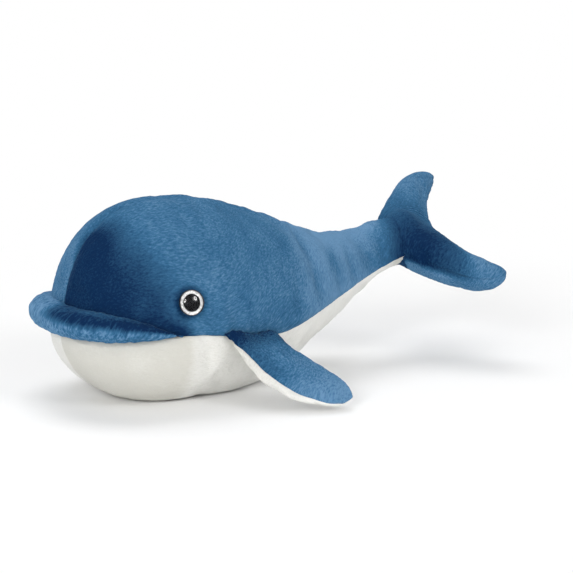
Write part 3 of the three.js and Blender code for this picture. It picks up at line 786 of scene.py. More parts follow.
def dimples(points):
    """How far the eyes and their creases draw each point in."""
    mirrored = points * np.array([1, -1, 1])
    heights = np.zeros(len(points))
    for side, sided in [(-1, mirrored), (1, points)]:
        away = np.linalg.norm(points - eye_place(side), axis=1)
        heights -= EYE_DIMPLE * hump(0, EYE_DIMPLE_WIDTH, away)
        heights -= CREASE_DEPTH * hump(0, CREASE_WIDTH, line_distance(sided, CREASE_START, CREASE_END))
    return heights


def body_lie(points):
    """The slant of the hair: level on the head and nearly upright on the tail stock."""
    return sum(turn * ease(start, end, points[:, 0]) for start, end, turn in LIE_TURNS)


TAIL_SHADE = 0.74
TAIL_DARK_PLACE = (0, -0.032)
TAIL_DARK_SIZE = (0.04, 0.05)
TAIL_DARK_REAR = (0.038, 0.024)
TAIL_DARK_REACH = 0.024
TAIL_DARK_LOW_X, TAIL_DARK_LOW_Y = (0.012, -0.008), (-0.03, -0.022)
TAIL_DARK_FADE = 0.006


def tail_shade(points):
    """Painted shade at the root of the fluke, on both sides of the seam."""
    place, axes = fluke_frame()
    along, across, rise = ((points - place) @ axes).T
    patch = TAIL_SHADE * ease(*TAIL_DARK_REAR, along)
    for middle, width, value in zip(TAIL_DARK_PLACE, TAIL_DARK_SIZE, (along, across)):
        patch = patch * hump(middle, width, value)
    low_edge = -TAIL_DARK_REACH * ease(*TAIL_DARK_LOW_X, along) * ease(*TAIL_DARK_LOW_Y, across)
    return patch * ease(low_edge - TAIL_DARK_FADE, low_edge, rise)


def body_tone_and_shade(points):
    """The tone of the pile. It has painted shade on the head's left side, round the eyes, in the flank
    folds and at the end of the tail stock, painted sheen on the far side of the head, and a paler
    back towards the tail.
    """
    x, y, z = points.T
    patches = BRUSH_LEAST + BRUSH_SPREAD * lattice_noise(points / BRUSH_PATCH, BRUSH_SEED)
    softness = RIDGE_FADE + CROWN_FADE * ease(*CROWN_Z, z)
    left = ease(softness, -softness, y)
    edge = DARK_END_X - DARK_END_SLOPE * np.maximum(z - DARK_END_Z, 0)
    fade = CORNER_FADE + (DARK_FADE - CORNER_FADE) * ease(*CORNER_Z, z)
    # Painted shade on the front of the head's left side.
    front = HEAD_SHADE * ease(edge, edge - fade, x) * left
    # Painted shadow in the dimple round each eye.
    eye_shade_ring = sum(hump(EYE_EDGE, EYE_EDGE_WIDTH, np.linalg.norm(points - eye_place(side), axis=1))
               for side in (-1, 1))
    right = hump(RIGHT_DARK_X, RIGHT_DARK_SIZE, x) * hump(RIGHT_DARK_Y, RIGHT_DARK_SIZE, y)
    pale = BACK_PALE * ease(*BACK_PALE_Z, z) * ease(*BACK_PALE_X, x)
    pale += TRUNK_PALE * ease(*TRUNK_PALE_X, x)
    # Painted sheen on the far side of the head's front.
    pale += FAR_BAND_SHEEN * ease(*FAR_BAND_SHEEN_X, x) * (1 - left)
    pale *= ease(*PALE_END_X, x)
    dark = (front + RIGHT_DARK * right + EYE_SHADE * eye_shade_ring) * patches
    # Painted shade in the hollows of the flank folds and at the root of the fluke.
    dark += FOLD_SHADE * flank_folds(points) + tail_shade(points)
    return BODY_BRUSHED + dark - pale


def write_tone(mesh, brushed_and_shade, fluff):
    """Keeps the tone of the pile, painted shade and painted sheen included, and how ruffled it is.
    Where the tone is darker the pile is calmer.
    """
    write_share(mesh, "brushed_and_shade", brushed_and_shade)
    write_share(mesh, "fluff", fluff * (1 - DARKER_CALM * ease(*DARKER_RANGE, brushed_and_shade)))


def dress_body(bag):
    points = points_of(bag.data)
    valley = SEAM_VALLEY * hump(0, SEAM_WIDTH, seam_distance(bag.data, BODY_OPEN_END))
    valley *= 1 - (1 - TAIL_VALLEY_SHARE) * ease(*TAIL_VALLEY_X, points[:, 0])
    swell_points(bag.data, dimples(points) - valley)
    places = lie_places(points, body_lie(points))
    write_places(bag.data, places)
    write_tone(bag.data, body_tone_and_shade(points), BODY_FLUFF)
    raise_pile(bag.data, places)
    points = points_of(bag.data)
    points[:, 2] = above_floor(points[:, 2])
    move_points(bag.data, points)


dress_body(body_bag)
back_left = cut_panel(body_bag, "back_left", 0)
belly = cut_panel(body_bag, "belly", 1)
back_right = cut_panel(body_bag, "back_right", 2)
finish_cloth(back_left, blue_plush, ["back_panel_left"])
finish_cloth(back_right, blue_plush, ["back_panel_right"])
finish_cloth(belly, white_plush, ["belly_panel", "body_stuffing"])
bpy.data.objects.remove(body_bag)

# %% [markdown]
# ## Lip
# The upper lip is a stuffed roll of the same blue plush, sewn round the front of the head. It
# is thick in the middle and dies out at the corners of the mouth. Its rings stand upright
# across a path that follows the head. The part inside the head is cut away.

# %% Lip
LIP_CORNER_HEIGHT = 0.38 * BODY_HEIGHT
LIP_HALF_HEIGHT = 0.075 * BODY_HEIGHT
LIP_HANG = 0.02 * BODY_HEIGHT
LIP_DEPTH = 0.11 * BODY_WIDTH
LIP_PROUD = 0.11 * BODY_WIDTH
LIP_SWEEP = math.radians(80)
LIP_TAPER = 3.5
LIP_RINGS = 70
LIP_COLUMNS = 24
LIP_INSET = 0.0008
LIP_CAP = 0.0015
LIP_RELIEF = 0.0012
LIP_BRUSHED = 0.33
LIP_UPPER_SHADE = 0.7
LIP_FLUFF = 0.5
LIP_FRONT_PALE = 0.14
LIP_CREST_HIGHLIGHT = 0.3
LIP_HAIR_SHARE = 0.6
LIP_SLANT = 1
LIP_BURIED = 0.004
LIP_AHEAD_X = (-0.08, -0.11)
LIP_FRONT_Y = (-0.045, -0.01)
LIP_UPPER_Y = (-0.015, 0.01)
LIP_UPPER_RISE = (-0.05, 0.75)
LIP_CREST_RISE = (0.9, 0.99)
THIN = 0.0004


def head_path(angle):
    """The widest line of the head in plan, at angles from the middle plane."""
    x, half_width = body_section(np.abs(angle) / (math.pi / 2) - 1)[:2]
    return np.stack([x, np.sign(angle) * half_width], axis=-1)


def lip_rings():
    share = np.linspace(-1, 1, LIP_RINGS)
    angle = LIP_SWEEP * share
    nudge = 0.02
    along = head_path(angle + nudge) - head_path(angle - nudge)
    along /= np.linalg.norm(along, axis=1)[:, None]
    out = np.stack([-along[:, 1], along[:, 0]], axis=1)
    taper = 1 - np.abs(share) ** LIP_TAPER
    turn = np.linspace(0, 2 * math.pi, LIP_COLUMNS + 1)[:-1]
    reach = np.maximum(LIP_DEPTH * taper, THIN)[:, None] * np.cos(turn)
    plan = head_path(angle) + out * ((LIP_PROUD - LIP_DEPTH) * taper)[:, None]
    plan = plan[:, None] + out[:, None] * reach[..., None]
    height = LIP_CORNER_HEIGHT + (LIP_HALF_HEIGHT - LIP_HANG) * taper
    rise = np.maximum(LIP_HALF_HEIGHT * taper, THIN)[:, None] * np.sin(turn)
    return np.concatenate([plan, (height[:, None] + rise)[..., None]], axis=2)


def depth_in_body(points):
    """Roughly how deep each point lies inside the head or trunk, negative outside."""
    x = points[:, 0]
    cosine = np.clip((WIDEST_X - x) / HEAD_LENGTH, 0, 1) ** (HEAD_ROUNDNESS / 2)
    run = np.where(x < WIDEST_X, np.arcsin(np.sqrt(1 - cosine**2)) / (math.pi / 2) - 1,
                   (x - WIDEST_X) / TRUNK_LENGTH)
    _, half_width, middle, back, belly = body_section(run)
    reach = np.where(points[:, 2] > middle, back - middle, middle - belly)
    across = np.abs(points[:, 1]) / np.maximum(half_width, WELD)
    rise = np.abs(points[:, 2] - middle) / np.maximum(reach, WELD)
    return (1 - np.sqrt(across**2 + rise**2)) * half_width


def drop_buried(obj, depth):
    """Takes away the faces that lie deeper in the body than this."""
    bm = bmesh.new()
    bm.from_mesh(obj.data)
    buried = depth_in_body(points_of(obj.data)) > depth
    inside = [face for face in bm.faces if all(buried[vert.index] for vert in face.verts)]
    bmesh.ops.delete(bm, geom=inside, context="FACES")
    bm.to_mesh(obj.data)
    bm.free()


def dress_lip(bag):
    """Painted shade on the roll's upper side and a painted highlight along its crest; the front
    and lower side are pale.
    """
    points = points_of(bag.data)
    normals = normals_of(bag.data)
    places = lie_places(points, LIP_SLANT) * LIP_HAIR_SHARE
    write_places(bag.data, places)
    ahead = ease(*LIP_AHEAD_X, points[:, 0])
    front = ease(*LIP_FRONT_Y, points[:, 1]) * ahead
    # Painted shade on the roll's upper side and a painted highlight along its crest, read from the
    # normals.
    upper_shade = ease(*LIP_UPPER_RISE, normals[:, 2]) * (1 - ease(*LIP_UPPER_Y, points[:, 1]) * ahead)
    crest_highlight = ease(*LIP_CREST_RISE, normals[:, 2]) * (1 - front)
    pale = LIP_FRONT_PALE * front + LIP_CREST_HIGHLIGHT * crest_highlight
    write_share(bag.data, "brushed_and_shade", LIP_BRUSHED + LIP_UPPER_SHADE * upper_shade - pale)
    write_share(bag.data, "fluff", LIP_FLUFF * (1 - upper_shade / 2))
    raise_pile(bag.data, places, LIP_RELIEF)


lip = tube("lip", lip_rings(), [LIP_COLUMNS])
blow_up(lip, LIP_INSET, LIP_CAP)
refine(lip, 2)
dress_lip(lip)
drop_buried(lip, LIP_BURIED)
finish_cloth(lip, blue_plush, ["lip_cover", "lip_stuffing"])
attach(lip, "body")

# %% [markdown]
# ## Flippers
# A flipper is a flat bag of a blue top and a white underside. It is a pillow through stations
# from root to tip. The white cloth laps over the leading edge and shows as a border. At the
# root it is gathered into the side seam of the body, so its first rings are drawn onto that
# seam and sink a little into it.

# %% Frame of a flipper
FLIPPER_LENGTH = 0.077
FLIPPER_ROOT = 0.057
FLIPPER_HALF_THICKNESS = 0.009
FLIPPER_DROOP = math.radians(40)
FLIPPER_TWIST = math.radians(20)
FLIPPER_FRONT_SHARE = 0.06
FLIPPER_REAR_SHARE = 0.303
ROOT_RADIUS = 0.0032
CLEARANCE = 0.0003
FRAME_STEPS = 24


def seam_point(run, side, lift=0):
    turn = seam_turn(run, lift)
    return body_point(run, math.pi - turn if side < 0 else turn)


def unit(vector):
    return vector / np.linalg.norm(vector)


def flipper_frame(side):
    """Place and axes: X runs back along the root seam, Y or -Y runs out along the blade."""
    front, rear = seam_point(FLIPPER_FRONT_SHARE, side), seam_point(FLIPPER_REAR_SHARE, side)
    along = unit(rear - front)
    across = unit(np.array([0, 1, 0]) - along[1] * along)
    middle = (front + rear) / 2
    runs = np.linspace(FLIPPER_FRONT_SHARE, FLIPPER_REAR_SHARE, FRAME_STEPS + 1)
    reach = [(seam_point(runs, side, lift) - middle) @ across * side
             for lift in (-ROOT_RADIUS, 0, ROOT_RADIUS)]
    bulge = max(float(np.max(reach)), 0)
    place = middle + across * side * (bulge + ROOT_RADIUS + CLEARANCE)
    axes = Matrix([along, across, np.cross(along, across)]).transposed()
    turned = axes @ Matrix.Rotation(-side * FLIPPER_DROOP, 3, "X")
    return place, np.array(turned)


for side in (-1, 1):
    print("flipper frame at", np.round(flipper_frame(side)[0] * 1000, 2), "mm")

# %% Bag of a flipper
FLIPPER_STATION_SHARES = [0, 0.2, 0.4, 0.55, 0.7, 0.82, 0.92, 0.98, 1]
flipper_lead = table(FLIPPER_STATION_SHARES, [-0.5, -0.38, -0.28, -0.17, -0.03, 0.12, 0.34, 0.52, 0.66])
flipper_trail = table(FLIPPER_STATION_SHARES, [0.45, 0.52, 0.63, 0.73, 0.84, 0.91, 0.9, 0.83, 0.72])
flipper_swell = table(FLIPPER_STATION_SHARES, [0.36, 0.85, 1, 1, 0.93, 0.8, 0.58, 0.36, 0.2])
FLIPPER_TWIST_END_SHARE = 0.6
BORDER_TURN = math.radians(34)
BORDER_START_SHARE = 0.02
BORDER_FULL_SHARE = 0.3
TRAIL_BORDER_TURN = math.radians(14)
ROOT_WRAP_TURN = math.radians(55)
ROOT_WRAP_SHARE = 0.16
FLIPPER_RINGS = 34
FLIPPER_TOP_COLUMNS = 18
FLIPPER_UNDER_COLUMNS = 22
ROOT_SINK = 0.003
ROOT_REACH_SHARE = 0.28
ROOT_LIFT = 0.0012
ROOT_WAVE = 0.0016
ROOT_WAVE_LENGTH = 0.034
ROOT_RUN_END = 0.4
ROOT_RUN_STEPS = 80
FLIPPER_INSET = 0.0003
FLIPPER_CAP = 0.0015


def root_shift(side, place, axes):
    """How far the root line is from the body's side seam, in the flipper's frame, along X."""
    runs = np.linspace(0, ROOT_RUN_END, ROOT_RUN_STEPS)
    seam = (seam_point(runs, side) - place) @ axes
    return lambda x: np.stack([np.interp(x, seam[:, 0], seam[:, 1]),
                               np.interp(x, seam[:, 0], seam[:, 2])], axis=-1)


def flipper_rings(side):
    place, axes = flipper_frame(side)
    shift = root_shift(side, place, axes)
    share = np.sin(np.linspace(0, math.pi / 2, FLIPPER_RINGS))[:, None]
    border = BORDER_TURN * ease(BORDER_START_SHARE, BORDER_FULL_SHARE, share)
    wrap = ROOT_WRAP_TURN * (1 - ease(0, ROOT_WRAP_SHARE, share))
    lead_turn, trail_turn = math.pi - border + wrap, TRAIL_BORDER_TURN - wrap
    top = trail_turn + (lead_turn - trail_turn) * shares(FLIPPER_TOP_COLUMNS)
    around = 2 * math.pi + trail_turn - lead_turn
    under = lead_turn + around * shares(FLIPPER_UNDER_COLUMNS)
    turn = np.concatenate([top, under], axis=1)
    low, high = FLIPPER_ROOT * flipper_lead(share), FLIPPER_ROOT * flipper_trail(share)
    x = (low + high) / 2 + (high - low) / 2 * np.cos(turn)
    z = FLIPPER_HALF_THICKNESS * flipper_swell(share) * np.sin(turn)
    y = side * FLIPPER_LENGTH * share + 0 * x
    hold = 1 - ease(0, ROOT_REACH_SHARE, share)
    moved = shift(x) * hold[..., None]
    wave = ROOT_LIFT - ROOT_WAVE * np.cos(x * 2 * math.pi / ROOT_WAVE_LENGTH)
    y = y + moved[..., 0] - side * (ROOT_SINK + wave * math.tan(FLIPPER_DROOP)) * hold
    z = z + moved[..., 1] + wave * hold
    twist = -FLIPPER_TWIST * ease(0, FLIPPER_TWIST_END_SHARE, share)
    across = x * np.cos(twist) + z * np.sin(twist)
    rise = z * np.cos(twist) - x * np.sin(twist)
    rings = np.stack([across, y, rise], axis=-1) @ axes.T + place
    tip = np.broadcast_to(rings[-1].mean(axis=0), rings[-1:].shape)
    return np.concatenate([rings, tip])


PUCKER_PERIOD = 0.0075
PUCKER_DEPTH = 0.0005
PUCKER_REACH = 0.009
FLIPPER_VALLEY = 0.0011
FLIPPER_SEAM_WIDTH = 0.002
FLIPPER_BRUSHED = 0.42
FLIPPER_DARK = 0.3
FLIPPER_DARK_WIDTH = 0.024
FLIPPER_FLUFF = 0.3
ROOT_FLUFF = 0.25
ROOT_FLUFF_REACH = 0.03
ROOT_SHADE = 0.5
TIP_PALE = 0.3
TIP_CALM = 0.01
TIP_MARGIN = 0.002
ROOT_INSIDE = 0.004
LIMB_SLANT = 0.9


def dress_flipper(bag, side):
    """Puckers, painted shade and ruffled pile at the root, a dark front and a pale calm tip."""
    place, axes = flipper_frame(side)
    points = points_of(bag.data)
    inside = (points - place) @ axes
    out = np.maximum(side * inside[:, 1] + ROOT_INSIDE, 0)
    share = np.clip(out / FLIPPER_LENGTH, 0, 1)
    pucker = np.sin(inside[:, 0] * 2 * math.pi / PUCKER_PERIOD) * np.exp(-out / PUCKER_REACH)
    valley = FLIPPER_VALLEY * hump(0, FLIPPER_SEAM_WIDTH, seam_distance(bag.data))
    calm = ease(FLIPPER_LENGTH + TIP_MARGIN, FLIPPER_LENGTH - TIP_CALM, out)
    swell_points(bag.data, PUCKER_DEPTH * pucker - valley * calm)
    places = lie_places(points, LIMB_SLANT)
    write_places(bag.data, places)
    behind_lead = inside[:, 0] - FLIPPER_ROOT * flipper_lead(share)
    front = FLIPPER_DARK * ease(FLIPPER_DARK_WIDTH, 0, behind_lead) * ease(1, 0.5, share)
    # Painted shade at the root, where the flipper meets the body.
    root = ROOT_SHADE * np.exp(-out / PUCKER_REACH)
    pale = TIP_PALE * ease(0, 1, share)
    write_share(bag.data, "brushed_and_shade", FLIPPER_BRUSHED + front + root - pale)
    write_share(bag.data, "fluff", FLIPPER_FLUFF + ROOT_FLUFF * np.exp(-out / ROOT_FLUFF_REACH))
    raise_pile(bag.data, places, PILE_RELIEF * calm)


def make_flipper(word, side):
    bag = tube("flipper_bag", flipper_rings(side), [FLIPPER_TOP_COLUMNS, FLIPPER_UNDER_COLUMNS])
    blow_up(bag, FLIPPER_INSET, FLIPPER_CAP)
    refine(bag, 2)
    dress_flipper(bag, side)
    top = cut_panel(bag, f"flipper_{word}_blue", 0)
    under = cut_panel(bag, f"flipper_{word}_white", 1)
    stuffing = f"flipper_{word}_stuffing"
    finish_cloth(top, blue_plush, [f"flipper_{word}_top"])
    finish_cloth(under, white_plush, [f"flipper_{word}_underside", stuffing])
    bpy.data.objects.remove(bag)
    place, axes = flipper_frame(side)
    for panel in (top, under):
        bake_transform(panel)


make_flipper("left", -1)
make_flipper("right", 1)

# %% [markdown]
# ## Tail fluke
# The fluke is a bag of a top and an underside, both blue, with two swept lobes and a neck that
# the body's tail runs into. Two simple forms, the neck and the lobes, are melted into one skin
# with a voxel remesh, as the real bag has no seam between them. The edge seam is cut in with a
# plane, and the neck is cut open at the tail seam.

# %% Forms of the fluke
FLUKE_HALF_SPAN = 0.075
FLUKE_LENGTH = 0.06
FLUKE_HALF_THICKNESS = 0.014
UNDERSIDE_FULLNESS = 1.4
NECK_LENGTH = 0.022
NECK_END_HALF_HEIGHT = 0.006
NECK_END_HALF_WIDTH = 0.024
NECK_START_RUN = 0.93
NECK_TUCK_SHARES = np.linspace(0.87, 0.99, 4)[:, None, None]
FLUKE_STATION_SHARES = [0, 0.3, 0.53, 0.7, 0.8, 0.915, 0.97, 1]
fluke_lead = table(FLUKE_STATION_SHARES, [-0.38, -0.24, 0, 0.2, 0.32, 0.49, 0.63, 0.8])
fluke_trail = table(FLUKE_STATION_SHARES, [0.45, 0.55, 0.67, 0.8, 0.9, 1.01, 1.04, 0.98])
fluke_swell = table(FLUKE_STATION_SHARES, [0.95, 1, 1, 0.97, 0.9, 0.72, 0.52, 0.3])
FLUKE_MARGIN = 0.0015
LOBE_RINGS = 41
LOBE_COLUMNS = 32
NECK_COLUMNS = 48
NECK_RINGS = 10


def lobe_rings():
    place = np.sin(np.linspace(-math.pi / 2, math.pi / 2, LOBE_RINGS))[:, None]
    share = np.abs(place)
    turn = np.linspace(0, 2 * math.pi, LOBE_COLUMNS + 1)[None, :-1]
    low = FLUKE_LENGTH * fluke_lead(share) - FLUKE_MARGIN
    high = FLUKE_LENGTH * fluke_trail(share) + FLUKE_MARGIN
    x = (low + high) / 2 + (high - low) / 2 * np.cos(turn)
    z = (FLUKE_HALF_THICKNESS * fluke_swell(share) + FLUKE_MARGIN) * np.sin(turn)
    z = np.where(z < 0, z * UNDERSIDE_FULLNESS, z)
    return np.stack([x, (FLUKE_HALF_SPAN + FLUKE_MARGIN) * place + 0 * x, z], axis=-1)


def neck_rings(place, axes):
    turn = np.linspace(0, 2 * math.pi, NECK_COLUMNS + 1)[None, :-1]
    runs = np.linspace(NECK_START_RUN, 1, len(NECK_TUCK_SHARES))[:, None]
    body = body_point(runs, turn)
    centres = body.mean(axis=1, keepdims=True)
    body = (centres + (body - centres) * NECK_TUCK_SHARES - place) @ axes
    end = np.stack([np.full(NECK_COLUMNS, NECK_LENGTH),
                    NECK_END_HALF_WIDTH * np.cos(turn[0] - FLUKE_ROLL),
                    NECK_END_HALF_HEIGHT * np.sin(turn[0] - FLUKE_ROLL)], axis=-1)
    share = np.linspace(0, 1, NECK_RINGS + 1)[1:, None, None]
    seam = body[-1][None]
    moved = seam + (end - seam) * ease(0, 1, share)
    moved[..., 0] = (seam + (end - seam) * share)[..., 0]
    return np.concatenate([body, moved])


print("fluke frame at", np.round(fluke_frame()[0] * 1000, 2), "mm")

# %% Bag of the fluke
FLUKE_VOXEL = 0.0032
FLUKE_SMOOTHING = 3
FLUKE_START = -0.0155
FLUKE_INSET = 0.0004
FLUKE_CAP = 0.0024
TOP, UNDERSIDE, OPEN_END = 0, 1, 2
FLUKE_BRUSHED = 0.27
FLUKE_FLUFF = 0.35
ARC_CENTRE = (0.006, -0.012)
ARC_RADIUS = 0.027
ARC_BAND = 0.005
ARC_PERIOD = 0.0028
ARC_DEPTH = 0.0004
ARC_SHADE = 0.3
ARC_FADE = 0.004
ARC_START = (-0.005, 0.01)


def melted(name, parts):
    """One skin round several closed forms."""
    bm = bmesh.new()
    for part in parts:
        bm.from_mesh(part.data)
        bpy.data.objects.remove(part)
    whole = new_object(name, bm)
    remesh = whole.modifiers.new("melt", "REMESH")
    remesh.mode = "VOXEL"
    remesh.voxel_size = FLUKE_VOXEL
    graph = bpy.context.evaluated_depsgraph_get()
    whole.data = bpy.data.meshes.new_from_object(whole.evaluated_get(graph))
    whole.modifiers.clear()
    return whole


def cut_at(bm, point, normal, clear=False):
    everything = bm.verts[:] + bm.edges[:] + bm.faces[:]
    bmesh.ops.bisect_plane(bm, geom=everything, dist=WELD, plane_co=point, plane_no=normal,
                           clear_inner=clear)


def fluke_bag():
    place, axes = fluke_frame()
    lobes = tube("lobes", lobe_rings(), [LOBE_COLUMNS])
    neck = tube("neck", neck_rings(place, axes), [NECK_COLUMNS])
    bag = melted("fluke_bag", [lobes, neck])
    bm = bmesh.new()
    bm.from_mesh(bag.data)
    for _ in range(FLUKE_SMOOTHING):
        bmesh.ops.smooth_vert(bm, verts=bm.verts, factor=0.5, use_axis_x=True, use_axis_y=True,
                              use_axis_z=True)
    cut_at(bm, (FLUKE_START, 0, 0), (1, 0, 0), clear=True)
    cut_at(bm, (0, 0, 0), (0, 0, 1))
    panel = bm.faces.layers.int.new("panel")
    for face in bm.faces:
        face[panel] = TOP if face.calc_center_median().z > 0 else UNDERSIDE
    close_ends(bm, panel, OPEN_END)
    bmesh.ops.recalc_face_normals(bm, faces=bm.faces)
    bm.transform(Matrix.Translation(place) @ Matrix(axes).to_4x4())
    bm.to_mesh(bag.data)
    bm.free()
    return bag


def dress_fluke(bag):
    """An edge seam that fades at the tips, and fine gathers in an arc at the right lobe's root,
    with painted shade in their hollows. Painted shade also lies at the fluke's root.
    """
    place, axes = fluke_frame()
    points = points_of(bag.data)
    inside = (points - place) @ axes
    valley = FLIPPER_VALLEY * hump(0, FLIPPER_SEAM_WIDTH, seam_distance(bag.data, OPEN_END))
    calm = ease(FLUKE_HALF_SPAN + TIP_MARGIN, FLUKE_HALF_SPAN - TIP_CALM, np.abs(inside[:, 1]))
    radius = np.hypot(inside[:, 0] - ARC_CENTRE[0], inside[:, 1] - ARC_CENTRE[1])
    arcs = np.sin(2 * math.pi * radius / ARC_PERIOD) * hump(ARC_RADIUS, ARC_BAND, radius)
    arcs *= ease(0, ARC_FADE, inside[:, 1]) * ease(0, ARC_FADE, inside[:, 2])
    arcs *= ease(*ARC_START, inside[:, 0])
    swell_points(bag.data, -valley * calm - ARC_DEPTH * arcs)
    places = lie_places(points, LIMB_SLANT)
    write_places(bag.data, places)
    # Painted shade at the fluke root and in the hollows of the arc of gathers.
    write_tone(bag.data, FLUKE_BRUSHED + tail_shade(points) + ARC_SHADE * arcs, FLUKE_FLUFF)
    raise_pile(bag.data, places, PILE_RELIEF * calm)


fluke = fluke_bag()
blow_up(fluke, FLUKE_INSET, FLUKE_CAP, OPEN_END)
refine(fluke, 2)
dress_fluke(fluke)
fluke_top = cut_panel(fluke, "fluke_top_blue", TOP)
fluke_underside = cut_panel(fluke, "fluke_underside_blue", UNDERSIDE)
bpy.data.objects.remove(fluke)
finish_cloth(fluke_top, blue_plush, ["fluke_top"])
finish_cloth(fluke_underside, blue_plush, ["fluke_underside", "fluke_stuffing"])

# %% [markdown]
# ## Tail seam
# The tail bends where the body's panels meet the fluke, as the fluke's frame is turned. Here
# the placements of the body's panels and the fluke's panels are applied to their meshes.

# %% Placements of the panels
TAIL_SEAM_Z = fluke_frame()[0][2]
for panel in (back_left, back_right, belly, fluke_top, fluke_underside):
    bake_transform(panel)

# %% [markdown]
# ## Eyes
# Each eye is a locking safety eye: a clear moulded dome over a black pupil and a ring of silver
# glitter. The three parts are spun round the eye's own axis from profiles with many more steps
# than the solids have, because gloss shows every facet. On the real eye the pupil and the
# glitter touch the clear plastic, so the dome is laid over them here and no air is left between.
# A low index of refraction keeps the pupil in its measured size, and a clear coat gives the
# gloss. The washer is inside the head and keeps its solid.

# %% Eye materials
GLITTER_CELLS = 1500
RIM_WIDTH = 0.0016
FLAKE_RELIEF = 0.0004
FLAKE_BUMP = 0.6
GLITTER_METAL, GLITTER_ROUGHNESS = 0.3, 0.3
PUPIL_ROUGHNESS, DUSTY_ROUGHNESS = 0.12, (0.08, 0.2)
DOME_ROUGHNESS, SMUDGED_ROUGHNESS = 0.02, (0.01, 0.05)
DOME_IOR = 1.08
DOME_COAT = 0.25
COAT_ROUGHNESS = 0.15
WASHER_ROUGHNESS = 0.5
DUST_SCALE, SMUDGE_SCALE, CLOUD_SCALE = 900, 300, 200
SILVER, CLEAR, IVORY = (0.7, 0.71, 0.72, 1), (0.97, 0.98, 1, 1), (0.8, 0.8, 0.76, 1)
BLACK = (0.004, 0.004, 0.0045, 1)
DUSTY_BLACK = (0.003, 0.003, 0.004, 1)
DULL_FLAKE, BRIGHT_FLAKE = (0.3, 0.29, 0.28, 1), (0.8, 0.79, 0.77, 1)
DARK_WASHER, LIGHT_WASHER = (0.72, 0.72, 0.68, 1), (0.86, 0.86, 0.83, 1)


def plain_material(name, colour, roughness):
    material = bpy.data.materials.new(name)
    material.use_nodes = True
    shader = material.node_tree.nodes["Principled BSDF"]
    shader.inputs["Base Color"].default_value = colour
    shader.inputs["Roughness"].default_value = roughness
    return material, material.node_tree, shader


def object_noise(tree, scale, detail):
    place = add_node(tree, "ShaderNodeTexCoord").outputs["Object"]
    inputs = {"Vector": place, "Scale": scale, "Detail": detail}
    return add_node(tree, "ShaderNodeTexNoise", inputs).outputs["Fac"]


def vary_roughness(tree, shader, share, low, high):
    inputs = {"Value": share, "To Min": low, "To Max": high}
    rough = add_node(tree, "ShaderNodeMapRange", inputs).outputs[0]
    tree.links.new(rough, shader.inputs["Roughness"])


def make_glitter():
    material, tree, shader = plain_material("silver glitter", SILVER, GLITTER_ROUGHNESS)
    place = add_node(tree, "ShaderNodeTexCoord").outputs["Object"]
    flakes = add_node(tree, "ShaderNodeTexVoronoi", {"Vector": place, "Scale": GLITTER_CELLS})
    separate = add_node(tree, "ShaderNodeSeparateColor", {"Color": flakes.outputs["Color"]})
    colour = mixed_colour(tree, separate.outputs["Red"], DULL_FLAKE, BRIGHT_FLAKE)
    bump = add_node(tree, "ShaderNodeBump", {"Height": separate.outputs["Green"],
                                             "Strength": FLAKE_BUMP, "Distance": FLAKE_RELIEF})
    # The dark rim: partly the eye's black backing, partly painted shadow where the eye meets the cloth.
    rim = add_node(tree, "ShaderNodeAttribute", attribute_name="rim").outputs["Fac"]
    colour = mixed_colour(tree, rim, colour, BLACK)
    tree.links.new(colour, shader.inputs["Base Color"])
    tree.links.new(bump.outputs["Normal"], shader.inputs["Normal"])
    shader.inputs["Metallic"].default_value = GLITTER_METAL
    return material


def make_black():
    material, tree, shader = plain_material("black pupil", BLACK, PUPIL_ROUGHNESS)
    dust = object_noise(tree, DUST_SCALE, 3)
    colour = mixed_colour(tree, dust, BLACK, DUSTY_BLACK)
    shader.inputs["Specular IOR Level"].default_value = 0
    vary_roughness(tree, shader, dust, *DUSTY_ROUGHNESS)
    tree.links.new(colour, shader.inputs["Base Color"])
    return material


def make_clear():
    material, tree, shader = plain_material("clear dome", CLEAR, DOME_ROUGHNESS)
    vary_roughness(tree, shader, object_noise(tree, SMUDGE_SCALE, 2), *SMUDGED_ROUGHNESS)
    shader.inputs["Transmission Weight"].default_value = 1
    shader.inputs["IOR"].default_value = DOME_IOR
    shader.inputs["Coat Weight"].default_value = DOME_COAT
    shader.inputs["Coat Roughness"].default_value = COAT_ROUGHNESS
    return material


def make_washer():
    material, tree, shader = plain_material("moulded washer", IVORY, WASHER_ROUGHNESS)
    cloud = object_noise(tree, CLOUD_SCALE, 3)
    colour = mixed_colour(tree, cloud, DARK_WASHER, LIGHT_WASHER)
    tree.links.new(colour, shader.inputs["Base Color"])
    return material


silver_glitter = make_glitter()
black_pupil = make_black()
clear_dome = make_clear()
moulded_washer = make_washer()
print("eye materials ready")

# %% Eye shapes
EYE_RADIUS = 0.01
DOME_HEIGHT = 0.006
GLITTER_BASE = -0.0007
GLITTER_TOP = -0.0001
PUPIL_RADIUS = 0.0066
PUPIL_BASE = 0.0002
PUPIL_TOP = 0.0007
DOME_BASE = 0.001
DOME_BACK = -0.0002
EYE_SEGMENTS = 64
DOME_STEPS = 16


def eye_matrix(side):
    """The place of an eye on the head, with Z pointing out of the cloth."""
    turn = eye_turn(side)
    nudge = 0.01
    along = body_point(EYE_RUN + nudge, turn) - body_point(EYE_RUN - nudge, turn)
    around = body_point(EYE_RUN, turn + nudge) - body_point(EYE_RUN, turn - nudge)
    outward = Vector(unit(np.cross(around, along)))
    turned = Vector((0, 0, 1)).rotation_difference(outward).to_matrix().to_4x4()
    return Matrix.Translation(eye_place(side)) @ turned


